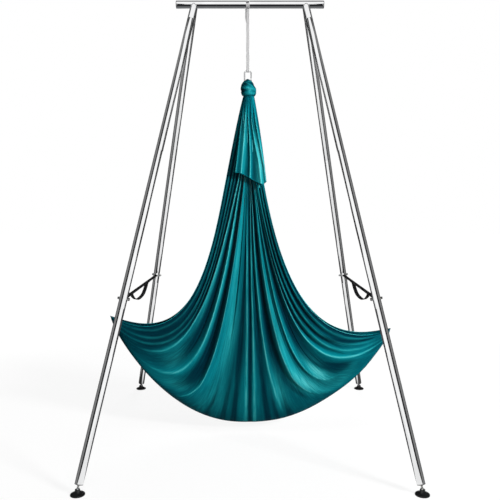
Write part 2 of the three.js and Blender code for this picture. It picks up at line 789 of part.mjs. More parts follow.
// Unit normals and the spacing across the columns, from differences between neighbours on a grid.
function gridNormals(grid) {
  const columns = grid.length;
  const rows = grid[0].length;
  const span = (list, i) => [list[Math.max(i - 1, 0)], list[Math.min(i + 1, list.length - 1)]];
  return grid.map((column, i) => column.map((_, j) => {
    const [left, right] = span(grid, i).map((one) => one[j]);
    const [before, after] = span(column, j);
    const across = right.clone().sub(left);
    const columnsApart = Math.min(i + 1, columns - 1) - Math.max(i - 1, 0);
    const spacing = (across.length() / columnsApart) * ((columns - 1) / 2);
    const normal = across.cross(after.clone().sub(before));
    return { normal: normal.normalize(), spacing, rows };
  }));
}

// A fold line from the neck to the lower edge. Place runs from -1, the left selvedge, to 1, the right;
// down runs from 0 at the neck to 1 at the lower edge. The result is [x, z].
const neckZ = knotBottom - seatGap;
const drop = neckZ - floorClearance;
const swagPeakShare = swagPowerShares[0] / (swagPowerShares[0] + swagPowerShares[1]);
const swagShape = (m) => m ** swagPowerShares[0] * (1 - m) ** swagPowerShares[1];

function foldLine(place, down) {
  const m = Math.abs(place);
  const sign = Math.sign(place);
  const [reach, rise, outs, drops] = place < 0
    ? [leftTipReach, leftTipRise, leftOutShares, leftDropShares]
    : [rightTipReach, rightTipRise, rightOutShares, rightDropShares];
  const toTip = 1 - (1 - m) ** endPowerShare;
  const swag = swagShape(m) / swagShape(swagPeakShare);
  const mix = (a, b) => a + (b - a) * m;
  const neckX = knotX + place * neckHalfWidth;
  const points = [
    [neckX, 0],
    [mix(neckX, sign * reach * outs[0]), drop * mix(middleDropShares[0], drops[0])],
    [
      sign * reach * (outs[1] * m + swagOutShare * swag),
      drop * (mix(middleDropShares[1], drops[1]) + swagDropShare * swag),
    ],
    [sign * reach * toTip, drop - rise * toTip ** bottomPowerShare],
  ];
  const up = 1 - down;
  const weights = [up ** 3, 3 * up * up * down, 3 * up * down * down, down ** 3];
  const at = (axis) => points.reduce((sum, point, k) => sum + weights[k] * point[axis], 0);
  return [at(0), neckZ - at(1)];
}

// The hammock: each fold line runs down the front, round the lower edge and up the back. Along runs from
// -1 at the front of the neck to 1 at its back.
function hammock() {
  const mean = Array.from({ length: hammockColumns + 1 }, (_, i) => {
    const place = -1 + (2 * i) / hammockColumns;
    const depth = pouchHalfDepth * (1 - (1 - edgeDepthShare) * place ** 4);
    return Array.from({ length: hammockRows + 1 }, (__, j) => {
      const along = -1 + (2 * j) / hammockRows;
      const [x, z] = foldLine(place, 1 - along * along);
      const y = depth * Math.sin(Math.PI * along) + neckHalfDepth * along * Math.abs(along);
      return new THREE.Vector3(x, y, z);
    });
  });
  const facing = gridNormals(mean);
  const folded = mean.map((column, i) => column.map((point, j) => {
    const { normal, spacing } = facing[i][j];
    const place = -1 + (2 * i) / hammockColumns;
    const along = -1 + (2 * j) / hammockRows;
    const depth = foldDepth * (spacing / (spacing + foldEase)) * Math.min(1, Math.abs(along) / edgeDepthShare);
    return point.clone().addScaledVector(normal, depth * Math.cos(foldCount * Math.PI * place));
  }));
  return clothShell(folded, facing.map((column) => column.map(({ normal }) => normal)));
}
place(rig, 'hammock', hammock(), tealCloth);

// The tail: the free end of the cloth, falling over the front of the hammock from under the knot.
function hammockTail() {
  const grid = Array.from({ length: tailClothColumns + 1 }, (_, i) => {
    const acrossShare = i / tailClothColumns;
    const length = tailClothLeftLength + (tailClothRightLength - tailClothLeftLength) * acrossShare;
    return Array.from({ length: tailClothRows + 1 }, (__, j) => {
      const down = j / tailClothRows;
      const left = tailClothLeftTop + (tailClothLeftHem - tailClothLeftTop) * down;
      const right = tailClothRightTop + (tailClothRightHem - tailClothRightTop) * down;
      const z = neckZ - length * down;
      const along = -Math.sqrt(1 - foldDownAt(z));
      const front = pouchHalfDepth * Math.sin(Math.PI * along) + neckHalfDepth * along * Math.abs(along);
      const stand = tailClothTopStand + (tailClothHemStand - tailClothTopStand) * Math.sqrt(down);
      const fold = tailClothFoldDepth * Math.sqrt(down) * Math.cos(tailClothFolds * fullTurn * acrossShare);
      return new THREE.Vector3(left + (right - left) * acrossShare, front - stand + fold, z);
    });
  });
  const facing = grid.map((column) => column.map(() => axisY.clone()));
  return clothShell(grid, facing);
}

// How far down the middle fold line a height lies, by halving.
function foldDownAt(z) {
  let [low, high] = [0, 1];
  for (let i = 0; i < 30; i += 1) {
    const middle = (low + high) / 2;
    if (foldLine(0, middle)[1] > z) low = middle;
    else high = middle;
  }
  return low;
}
place(rig, 'hammock_tail', hammockTail(), tealCloth);

export default rig;
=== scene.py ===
"""An aerial yoga rig: a polished four-legged tube stand, a webbing sling and a knotted teal hammock.

Metres, +Z up, the front of the rig faces -Y. New pieces are surfaces worked out with numpy."""

from math import acos, asin, copysign, pi, radians

import bmesh
import bpy
import numpy as np
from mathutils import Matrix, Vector
from numpy import clip, concatenate, cos, cross, cumsum, diff, exp, interp, linspace, sin, sqrt
from numpy import stack, where
from numpy.linalg import norm


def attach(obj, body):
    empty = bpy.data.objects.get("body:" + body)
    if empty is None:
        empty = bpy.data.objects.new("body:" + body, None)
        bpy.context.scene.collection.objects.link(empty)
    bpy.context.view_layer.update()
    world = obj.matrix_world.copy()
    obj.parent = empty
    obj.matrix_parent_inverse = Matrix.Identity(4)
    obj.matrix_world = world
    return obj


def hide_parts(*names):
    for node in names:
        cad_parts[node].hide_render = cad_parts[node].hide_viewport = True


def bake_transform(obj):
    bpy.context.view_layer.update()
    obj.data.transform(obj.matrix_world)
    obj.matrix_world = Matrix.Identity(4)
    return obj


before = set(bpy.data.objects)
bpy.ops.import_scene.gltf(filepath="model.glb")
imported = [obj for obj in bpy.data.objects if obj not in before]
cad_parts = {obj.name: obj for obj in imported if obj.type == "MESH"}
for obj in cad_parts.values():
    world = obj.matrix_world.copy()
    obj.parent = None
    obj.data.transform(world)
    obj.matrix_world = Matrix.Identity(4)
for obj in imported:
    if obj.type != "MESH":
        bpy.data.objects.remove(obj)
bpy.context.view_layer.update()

# Sizes, as in the frame
BAR_Z, BAR_R, BAR_WALL, BAR_LENGTH = 2.925, 0.025, 0.002, 0.985
TOP_X, FOOT_X, FOOT_Y, BALL_Z = 0.373, 0.943, 0.95, 0.03
TUBE_R, TUBE_WALL = 0.024, 0.002
TUBE_START, LOWER_JOINT, MIDDLE_JOINT, STUB = 0.03, 1.01, 2.026, 0.115
SPIGOT_R, SEAT = 0.0217, 0.0003
BOLT_AT, BAIL_SIDE, BAIL_REACH, BAIL_ROD = 1.072, 0.0272, 0.046, 0.0025
STRAP_W, STRAP_T = 0.025, 0.0022
HANG_X = -0.015
WRAP_IN, WRAP_OUT, WRAP_W = 0.0254, 0.0278, 0.024
SLING_W, SLING_T, SLING_TOP = 0.02, 0.0024, 2.8966
ROD_TOP, ROD_LOW, ROD_R, ROD_HALF, ROD_CORNER = 2.4866, 2.4096, 0.0045, 0.022, 0.014
NECK_Z, NECK_HALF, KNOT_TOP, KNOT_X = 2.3163, 0.0355, 2.4356, -0.01
FLOOR_GAP, LEFT_REACH, RIGHT_REACH, LEFT_RISE, RIGHT_RISE = 0.057, 0.975, 0.981, 0.756, 0.668
TAIL_WIDE, TAIL_LONG = 0.25, 0.58
SIDES = 56
X, Y, Z = np.eye(3)


# Shader maths
class Value:
    """A shader socket that Python's operators add Math nodes to."""

    def __init__(self, paint, socket):
        self.paint, self.socket = paint, socket

    def join(self, operation, *others):
        return self.paint.maths(operation, self, *others)

    def __add__(self, other):
        return self.join("ADD", other)

    def __mul__(self, other):
        return self.join("MULTIPLY", other)

    def __sub__(self, other):
        return self.join("SUBTRACT", other)

    def __rsub__(self, other):
        return self.paint.maths("SUBTRACT", other, self)

    __radd__, __rmul__ = __add__, __mul__

    def between(self, low, high, start=0.0, end=1.0):
        """This value carried from low..high to start..end along a smooth step."""
        inputs = enumerate((self, low, high, start, end))
        return self.paint.node("ShaderNodeMapRange", inputs, interpolation_type="SMOOTHSTEP")


class Paint:
    """One material or world: its nodes are added by node()."""

    def __init__(self, holder):
        self.holder = holder
        holder.use_nodes = True
        self.tree = holder.node_tree
        self.tree.nodes.clear()

    def node(self, kind, inputs=(), output=0, **settings):
        made = self.tree.nodes.new(kind)
        for name, value in settings.items():
            setattr(made, name, value)
        for name, value in dict(inputs).items():
            socket = made.inputs[name]
            if isinstance(value, Value):
                self.tree.links.new(value.socket, socket)
            else:
                socket.default_value = (*value, 1.0) if socket.type == "RGBA" else value
        return Value(self, made.outputs[output])

    def maths(self, operation, *inputs):
        return self.node("ShaderNodeMath", enumerate(inputs), operation=operation)

    def place(self, space, stretch=(1.0, 1.0, 1.0)):
        """The point that is painted, in the piece's own Object space or its UV in metres."""
        point = self.node("ShaderNodeTexCoord", output=space)
        return self.node("ShaderNodeMapping", {"Vector": point, "Scale": stretch})

    def parts(self, vector):
        return [self.node("ShaderNodeSeparateXYZ", {0: vector}, i) for i in range(3)]

    def noise(self, place, scale, detail=3.0, roughness=0.5):
        inputs = {"Vector": place, "Scale": scale, "Detail": detail, "Roughness": roughness}
        return self.node("ShaderNodeTexNoise", inputs)

    def blend(self, share, first, second):
        return self.node("ShaderNodeMix", {0: share, 6: first, 7: second}, 2, data_type="RGBA")

    def bump(self, height, strength, distance):
        return self.node("ShaderNodeBump", {"Height": height, "Strength": strength, "Distance": distance})

    def light_path(self, *outputs):
        return [self.node("ShaderNodeLightPath", output=name) for name in outputs]

    def surface(self, **sockets):
        named = {name.replace("_", " "): value for name, value in sockets.items()}
        return self.finish("ShaderNodeOutputMaterial", self.node("ShaderNodeBsdfPrincipled", named))

    def finish(self, kind, shader):
        last = self.tree.nodes.new(kind)
        self.tree.links.new(shader.socket, last.inputs["Surface"])
        return self.holder


def new_paint(name):
    return Paint(bpy.data.materials.new(name))


def worn(name, cloud, span, tones, grain, rough, relief, **more):
    """A worn surface. A cloud of noise, carried over its span, blends two tones, and a finer grain, drawn out
    by its stretch, stands out by the relief. The roughness comes from both."""
    p = new_paint(name)
    wear = p.noise(p.place("Object"), *cloud)
    fine = p.noise(p.place("Object", grain[0]), *grain[1:])
    tone = p.blend(wear.between(*span), *tones)
    return p.surface(Base_Color=tone, Roughness=rough(wear, fine), Normal=p.bump(fine, *relief), **more)


def webbing(name, dark, light, pitch, relief):
    """Woven webbing: herringbone ribs along the band, from its own UV in metres, and a fuzzy sheen."""
    p = new_paint(name)
    along, across, _ = p.parts(p.place("UV"))
    lean = (across * (pi / 0.0062)).join("SINE").join("ABSOLUTE") * 0.9
    ribs = (along * (2 * pi / pitch) + lean * 5.0).join("SINE")
    cords = (across * (2 * pi / 0.0013)).join("SINE")
    weave = ribs * 0.32 + cords * 0.18 + 0.5
    fuzz = p.noise(p.place("Object"), 500.0, 3.0)
    tone = p.blend(weave * 0.75 + fuzz * 0.25, dark, light)
    return p.surface(Base_Color=tone, Roughness=0.78 + fuzz * 0.15, Specular_IOR_Level=0.2,
                     Normal=p.bump(weave, relief, 0.0006))


def teal_cloth():
    """Silky knitted nylon: teal with a painted highlight on the crests of the folds and painted shade in the
    valleys, fine knit ribs along the cloth, and soft uneven stretch marks."""
    p = new_paint("teal_cloth")
    painted_highlight, painted_shade = (p.node("ShaderNodeAttribute", (), "Fac", attribute_name=name)
                     for name in ("painted_highlight", "painted_shade"))
    stretch = p.noise(p.place("UV", (70.0, 5.0, 1.0)), 1.0, 4.0, 0.65)
    patch = p.noise(p.place("UV", (3.0, 1.6, 1.0)), 1.0, 3.0)
    base = p.blend(patch.between(0.35, 0.7), (0.0012, 0.165, 0.21), (0.0018, 0.24, 0.285))
    # Painted shade: darkens the cloth towards a deep teal in the fold valleys
    base = p.blend(painted_shade * 0.94, base, (0.0003, 0.015, 0.03))
    # Painted highlight: a pale teal on the crests of the folds and in the sheen patches, grained by the
    # stretch noise
    painted_shine = painted_highlight * (0.42 + stretch.between(0.32, 0.68) * 0.56)
    painted_light = p.blend(painted_shine.between(0.15, 0.6), (0.035, 0.72, 0.75), (0.13, 0.74, 0.76))
    marks = stretch.between(0.45, 0.75) * (1 - painted_shade * 0.85) * 0.42
    base = p.blend(marks, p.blend(painted_shine, base, painted_light), (0.006, 0.33, 0.37))
    knit = p.parts(p.place("UV"))[0] * (2 * pi / 0.0024)
    height = knit.join("SINE") * 0.12 + stretch
    return p.surface(Base_Color=base, Roughness=0.42 + patch * 0.12, Specular_IOR_Level=0.015,
                     Normal=p.bump(height, 0.32, 0.0026))


# Each finish pairs a material with a slot name. The tubes have long faint draw lines and thumb smears, the
# zinc is cloudy, faintly blue and straw, with small pits, and the carabiner has fine cross scratches
PLAIN = WHITE = 1.0, 1.0, 1.0
STEEL = worn("polished_steel", (9.0, 4.0), (0.35, 0.7), ((0.88, 0.885, 0.89), (0.95, 0.955, 0.96)),
             ((260.0, 260.0, 6.0), 1.0, 2.0),
             lambda smear, lines: 0.03 + smear.between(0.45, 0.75) * 0.05 + lines * 0.02,
             (0.02, 0.0004), Metallic=1.0), "steel"
ZINC = worn("zinc_plate", (60.0, 4.0), (0.3, 0.7), ((0.6, 0.63, 0.66), (0.72, 0.71, 0.66)),
            (PLAIN, 900.0, 2.0), lambda cloud, pits: 0.24 + cloud * 0.16, (0.12, 0.0002),
            Metallic=1.0), "zinc"
BRIGHT = worn("carabiner_steel", (120.0, 3.0), (0.35, 0.7), ((0.86, 0.87, 0.88), (0.94, 0.95, 0.96)),
              ((900.0, 900.0, 140.0), 1.0, 2.0), lambda wear, scratch: 0.22 + scratch * 0.16,
              (0.05, 0.0002), Metallic=1.0), "steel"
# Moulded plastic and rubber have a fine grain and slight scuffs that lift the tone
SCUFFS, SCUFF_SPAN, GRAIN_RELIEF = (45.0, 5.0, 0.65), (0.55, 0.8), (0.25, 0.0003)
PLASTIC = worn("black_plastic", SCUFFS, SCUFF_SPAN, ((0.007, 0.007, 0.008), (0.0274, 0.0274, 0.0296)),
               (PLAIN, 900.0, 2.0), lambda scuff, fine: 0.36 + scuff * 0.12, GRAIN_RELIEF), "black_plastic"
RUBBER = worn("pad_rubber", SCUFFS, SCUFF_SPAN, ((0.004, 0.004, 0.0045), (0.0208, 0.0208, 0.0219)),
              (PLAIN, 700.0, 2.0), lambda scuff, fine: 0.34 + scuff * 0.12, GRAIN_RELIEF), "rubber"
BLACK, PALE = ((0.003, 0.003, 0.0035), (0.012, 0.012, 0.013)), ((0.44, 0.44, 0.445), (0.6, 0.6, 0.605))
BLACK_BAND = webbing("black_webbing", *BLACK, 0.0021, 0.55), "black_webbing"
PALE_BAND = webbing("pale_webbing", *PALE, 0.0019, 0.3), "pale_webbing"
CLOTH = teal_cloth(), "cloth"


# Surfaces
def grid(points, wrap_rows=False, wrap_columns=False, rows=None, columns=None):
    """Quads over points [row, column, 3], joined across a direction that wraps, with UVs in metres."""
    n, m = points.shape[:2]
    rows = linspace(0, 1, n + 1) if rows is None else rows
    columns = linspace(0, 1, m + 1) if columns is None else columns
    row_list = np.arange(n if wrap_rows else n - 1)
    i, j = np.meshgrid(row_list, np.arange(m if wrap_columns else m - 1), indexing="ij")
    below, beside = (i + 1) % n, (j + 1) % m
    faces = at(i * m + j, below * m + j, below * m + beside, i * m + beside)
    corners = (i, j), (i + 1, j), (i + 1, j + 1), (i, j + 1)
    uv = stack([at(rows[a], columns[b]) for a, b in corners], 2)
    return points.reshape(-1, 3), faces.reshape(-1, 4), uv.reshape(-1, 4, 2)


def at(*axes):
    """Points from their coordinates, each a number or an array."""
    return stack(np.broadcast_arrays(*axes), -1)


def unit(v):
    return v / norm(v, axis=-1, keepdims=True)


def lengths(line, back=False):
    """How far along a line of points each one lies, with the whole way round where it comes back."""
    line = concatenate([line, line[:1]]) if back else line
    return concatenate([[0], cumsum(norm(diff(line, axis=0), axis=1))])


def lathe(profile, sides, axes=(X, Y, Z), origin=(0, 0, 0), closed=False):
    """A profile of [radius, height] turned about the third of the given axes."""
    profile, ring = np.asarray(profile, float), disc(1.0, sides)[:, None]
    r, z = profile.T
    points = at(ring[..., 0] * r, ring[..., 1] * r, z) @ np.asarray(axes, float)
    around = linspace(0, max(r.max(), 1e-6) * 2 * pi, sides + 1)
    return grid(points + origin, True, closed, around, lengths(profile, back=True))


def swept(section, path, across, wrap=False):
    """A closed section [[across, up], ...], or one per path point, carried along a path. Its first direction
    is square to the path and as near to across as that allows. Open ends are closed on their middle."""
    path, across = np.asarray(path, float), np.asarray(across, float)
    tangent = unit(np.roll(path, -1, 0) - np.roll(path, 1, 0) if wrap else np.gradient(path, axis=0))
    side = unit(across - (tangent * across).sum(1, keepdims=True) * tangent)
    up = cross(tangent, side)
    section = np.broadcast_to(section, (len(path), *np.shape(section)[-2:]))
    rings = path[:, None] + section[..., :1] * side[:, None] + section[..., 1:] * up[:, None]
    along = lengths(path, wrap)
    if not wrap:
        first, last = (np.full_like(ring, ring.mean(0)) for ring in rings[[0, -1]])
        rings = stack([first, *rings, last])
        along = along[[0, *range(len(along)), -1]]
    return grid(rings, wrap, True, along, lengths(section[0], back=True))


def disc(radius, sides=16):
    turn = np.arange(sides) * (2 * pi / sides)
    return at(cos(turn), sin(turn)) * radius


def mm(*points):
    """Points given in millimetres, or shares in thousandths."""
    return np.array(points) / 1000


def block(inner, outer, low, high, chamfer, slope=1.0):
    """A turned block's half section, with chamfered faces. Slope is a chamfer's breadth over its height."""
    edge = outer - chamfer * slope
    return [[inner, low], [edge, low], [outer, low + chamfer], [outer, high - chamfer], [edge, high],
            [inner, high]]


def hexagon(flats, low, high, hole=0.0):
    """Half of a hexagon's section, to turn in six steps."""
    return block(hole, flats / sqrt(3), low, high, 0.0006, 1.6)


def band_section(width, thick):
    """A flat band's section: a rectangle with rounded edges."""
    turn, corner = linspace(0, pi, 5) - pi / 2, thick * 0.35
    right = at(width / 2 - corner + cos(turn) * corner, sin(turn) * thick / 2)
    middle = linspace(0.8, -0.8, 7)[:, None] * (width / 2)
    top = concatenate([middle, np.full_like(middle, thick / 2)], 1)
    return concatenate([right, top, -right, -top])


def spline(points, count):
    """A smooth curve through points (Catmull-Rom), with evenly spread places."""
    p = np.asarray(points, float)
    p = concatenate([2 * p[:1] - p[1:2], p, 2 * p[-1:] - p[-2:-1]])
    t = linspace(0, len(p) - 3 - 1e-9, 40 * len(p))
    k, f = t.astype(int), (t % 1)[:, None]
    a, b, c, d = p[k], p[k + 1], p[k + 2], p[k + 3]
    bend, twist = 2 * a - 5 * b + 4 * c - d, 3 * b - a - 3 * c + d
    dense = 0.5 * (2 * b + (c - a) * f + bend * f**2 + twist * f**3)
    run = lengths(dense)
    even = linspace(0, run[-1], count)
    return stack([interp(even, run, dense[:, i]) for i in range(dense.shape[1])], -1)


def rounded(corners, radius, steps):
    """Straight runs through corners, each inner corner turned on an arc of the radius."""
    corners = np.asarray(corners, float)
    out = [corners[:1]]
    for before, corner, after in zip(corners, corners[1:], corners[2:]):
        back, onward = unit(before - corner), unit(after - corner)
        half = acos(clip(back @ onward, -1, 1)) / 2
        centre = corner + unit(back + onward) * radius / sin(half)
        first, last = (corner + way * radius / np.tan(half) for way in (back, onward))
        share = linspace(0, 1, steps)[:, None]
        arm, other = first - centre, last - centre
        sweep = acos(clip(arm @ other / radius**2, -1, 1))
        out.append(centre + (sin((1 - share) * sweep) * arm + sin(share * sweep) * other) / sin(sweep))
    return concatenate([*out, corners[-1:]])


def show(name, data):
    made = bpy.data.objects.new(name, data)
    bpy.context.scene.collection.objects.link(made)
    return made


def piece(name, patches, finish, node=None, body="frame", sharp=32.0, values=None, mend=True):
    """One object from several (points, faces, uv) patches."""
    starts = cumsum([0] + [len(p[0]) for p in patches])
    points = concatenate([p[0] for p in patches])
    faces = concatenate([p[1] + s for p, s in zip(patches, starts)])
    uv = concatenate([p[2] for p in patches])
    mesh = bpy.data.meshes.new(name)
    mesh.from_pydata(points, [], faces)
    mesh.uv_layers.new(name="UVMap").data.foreach_set("uv", uv.astype(np.float32).ravel())
    for key, value in (values or {}).items():
        made = mesh.attributes.new(key, "FLOAT", "POINT")
        made.data.foreach_set("value", value.astype(np.float32).ravel())
    if mend:
        work = bmesh.new()
        work.from_mesh(mesh)
        bmesh.ops.remove_doubles(work, verts=work.verts, dist=1e-6)
        bmesh.ops.recalc_face_normals(work, faces=work.faces)
        work.to_mesh(mesh)
        work.free()
    mesh.validate()
    mesh.polygons.foreach_set("use_smooth", np.ones(len(mesh.polygons), bool))
    mesh.set_sharp_from_angle(angle=radians(sharp))
    material, slot = finish
    mesh.materials.append(material)
    made = show(name, mesh)
    if body:
        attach(made, body)
    if node:
        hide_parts(node)
    made.visible_glossy = finish is not CLOTH
    return made


# Stand
class Leg:
    """A leg's own axes: up along the tube from the foot's ball, across it, and through."""

    def __init__(self, end, side):
        self.side, self.name = side, f"{end}_{side}"
        self.sx, sy = (-1 if side == "left" else 1), (-1 if end == "front" else 1)
        self.foot = np.array([self.sx * FOOT_X, sy * FOOT_Y, BALL_Z])
        self.top = np.array([self.sx * TOP_X, 0, BAR_Z])
        self.length = norm(self.top - self.foot)
        self.up = unit(self.top - self.foot)
        self.across = unit(X - X @ self.up * self.up)
        self.through = cross(self.up, self.across)
        self.axes = self.across, self.through, self.up
        inward = -sy * Y
        self.reach = unit(inward - inward @ self.across * self.across)
        self.bow = self.foot + self.up * BOLT_AT + self.reach * BAIL_REACH

    def turned(self, profile, sides=SIDES, closed=True):
        """A profile of [radius, height over the ball] turned about the tube's axis."""
        return lathe(profile, sides, self.axes, self.foot, closed)

    def piece(self, name, node, patches, finish, body="frame"):
        piece(f"{name}_{self.name}", patches, finish, f"{node}_{self.name}", body)


LEGS = [Leg(end, side) for side in ("left", "right") for end in ("front", "rear")]


def crossbar():
    """The bar and its four stubs as walled tubes, and a weld bead where each stub meets the bar."""
    half, chamfer, bead = BAR_LENGTH / 2, 0.0005, 0.0004
    bar = block(BAR_R - BAR_WALL, BAR_R, -half, half, chamfer)
    patches = [lathe(bar, SIDES, [Y, Z, X], (0, 0, BAR_Z), closed=True)]
    turn = linspace(0, 2 * pi, 72, endpoint=False)
    bore = TUBE_R - TUBE_WALL
    for leg in LEGS:
        low, high = leg.length - STUB, leg.length - 0.012
        patches.append(leg.turned([[bore, low], [TUBE_R - chamfer, low], [TUBE_R, low + chamfer],
                                   [TUBE_R, high], [bore, high]]))
        radial = np.outer(cos(turn), leg.across) + np.outer(sin(turn), leg.through)
        flat, lean = radial[:, 1:] * (TUBE_R + bead), leg.up[1:]
        b, c = flat @ lean, (flat**2).sum(1) - (BAR_R + bead) ** 2
        run = (-b - sqrt(np.maximum(b * b - (lean @ lean) * c, 0))) / (lean @ lean)
        seam = leg.top + radial * (TUBE_R + bead) + run[:, None] * leg.up
        ripple = 0.0021 + 0.0004 * sin(turn * 36)
        patches.append(swept(disc(1.0, 10)[None] * ripple[:, None, None], seam, radial, wrap=True))
    piece("crossbar_polished", patches, STEEL, "crossbar")
    cap = mm((0, -22), (22.2, -22), (22.7, -21.2), (22.7, 0.3), (25, 0.3), (25, 1.2), (24.6, 2.1),
             (23.4, 2.9), (21, 3), (12, 3), (11.2, 2.6), (0, 2.6))
    for side, sign in (("left", -1), ("right", 1)):
        turned = lathe(cap, SIDES, [Y, Z * sign, X * sign], (sign * half, 0, BAR_Z))
        piece(f"bar_end_{side}", [turned], PLASTIC, f"bar_cap_{side}")


def leg_tubes(leg):
    """Three walled tubes with rolled edges, each with its spigot up inside the next."""
    bore, inner, overlap, soft = TUBE_R - TUBE_WALL, SPIGOT_R - 0.0016, 0.012, 0.0006
    rim = [(soft, 0), (soft * 0.3, soft * 0.3), (0, soft)]
    for part, low, high, spigot in (("lower", TUBE_START, LOWER_JOINT, 0.095),
                                    ("middle", LOWER_JOINT, MIDDLE_JOINT, 0.06),
                                    ("upper", MIDDLE_JOINT, leg.length - STUB - SEAT, 0.038)):
        end = high - SEAT
        profile = [[bore, low], *([TUBE_R - a, low + b] for a, b in rim),
                   *([TUBE_R - a, end - b] for a, b in rim[::-1]), [SPIGOT_R, end],
                   [SPIGOT_R, high + spigot], [inner, high + spigot], [inner, high - overlap],
                   [bore, high - overlap]]
        leg.piece(f"tube_{part}", f"leg_{part}", [leg.turned(profile)], STEEL)


def foot(leg):
    """Threaded stem with ball and wrench flats, lock nut, tube plug and swivel pad."""
    ball_r, neck_r, cup_r, cup_mouth = 0.008, 0.0036, 0.00845, 0.0023
    turn = linspace(-pi / 2, acos(neck_r / ball_r), 18)
    ball = at(cos(turn) * ball_r, sin(turn) * ball_r)
    ball[0, 0] = 0
    pitch, count, start = 0.0015, 40, 0.0145
    tooth = mm((4.6, 0), (5, 0.5), (5, 0.8), (4.6, 1.3))
    thread = [tooth + (0, step * pitch + start) for step in range(count)]
    shank = concatenate([ball, mm((3.6, 8.5), (3.8, 9), (4.6, 14)), *thread,
                         mm((4.6, 77.2), (4, 78), (0, 78))])
    collar = hexagon(0.013, 0.009, 0.014)
    leg.piece("level_stem", "foot_stem", [leg.turned(shank, 28, False), leg.turned(collar, 6, False)], ZINC,
              f"stem_{leg.name}")
    leg.piece("lock_nut", "foot_nut", [leg.turned(hexagon(0.017, 0.0202, 0.0262, hole=0.0054), 6)], ZINC)
    plug = mm((5.4, 26.5), (22.6, 26.5), (23.6, 27), (24, 27.9), (24, 29.7), (21.7, 29.7), (21.7, 58),
              (5.4, 58))
    leg.piece("tube_plug", "foot_plug", [leg.turned(plug)], PLASTIC)
    turn = linspace(asin(cup_mouth / cup_r), -pi / 2, 12)
    cup = at(cos(turn) * cup_r, BALL_Z + sin(turn) * cup_r)
    cup[-1, 0] = 0
    skirt = spline(mm((40.5, 4.5), (38.5, 7.3), (33.5, 10), (26.2, 13), (19.5, 17.8), (15.5, 24),
                      (14.1, 30)), 26)
    base = mm((0, 0), (38.5, 0), (39.8, 0.4), (40.5, 1.3), (40.5, 2.2), (40.2, 2.5), (40.5, 2.8))
    pad = concatenate([base, skirt, mm((14, 31.5), (13.2, 32.3), (9.8, 32.3)), cup])
    leg.piece("swivel_pad", "foot_pad", [lathe(pad, 72, origin=leg.foot * (1, 1, 0))], RUBBER,
              f"pad_{leg.name}")


def bolt_and_bail(leg):
    """The cross bolt, its nut, and the bent rod bail with an eye on each side of the tube."""
    spot, out = leg.foot + leg.up * BOLT_AT, leg.sx * leg.across
    axes = leg.up, cross(out, leg.up), out
    face = 0.03
    head = mm((0, 0), (7, 0), (7.5, 0.5), (7.5, 4.3), (6.8, 5.3), (0, 5.3)) + (0, face)
    shank = [[0, -face - 0.0085], [0.0034, -face - 0.0085], [0.004, -face - 0.0079], [0.004, face],
             [0, face]]
    leg.piece("cross_bolt", "strap_bolt", [lathe(head, 6, axes, spot), lathe(shank, 24, axes, spot)], ZINC)
    nut = hexagon(0.013, -face - 0.0065, -face, hole=0.0043)
    leg.piece("cross_nut", "strap_nut", [lathe(nut, 6, axes, spot, closed=True)], ZINC)
    arms = [spot + s * leg.across * BAIL_SIDE + leg.reach * d
            for s, d in ((-1, 0.006), (-1, BAIL_REACH), (1, BAIL_REACH), (1, 0.006))]
    patches = [swept(disc(BAIL_ROD, 18), rounded(arms, 0.009, 12), cross(leg.reach, leg.across))]
    for s in (-BAIL_SIDE, BAIL_SIDE):
        eye = block(0.0043, 0.0078, s - BAIL_ROD, s + BAIL_ROD, 0.0008, 0.75)
        patches.append(lathe(eye, 32, [leg.up, -leg.through, leg.across], spot, closed=True))
    leg.piece("wire_bail", "strap_bail", patches, ZINC)


def rounded_box(half_x, low, high, corner):
    """A box's outline from its top right, each corner a quarter turn."""
    out = []
    for k, (side, z) in enumerate(((1, high), (-1, high), (-1, low), (1, low))):
        turn = linspace(0, pi / 2, 6) + k * pi / 2
        centre = side * (half_x - corner), z - copysign(corner, z)
        out.append(centre + corner * at(cos(turn), sin(turn)))
    return concatenate(out)


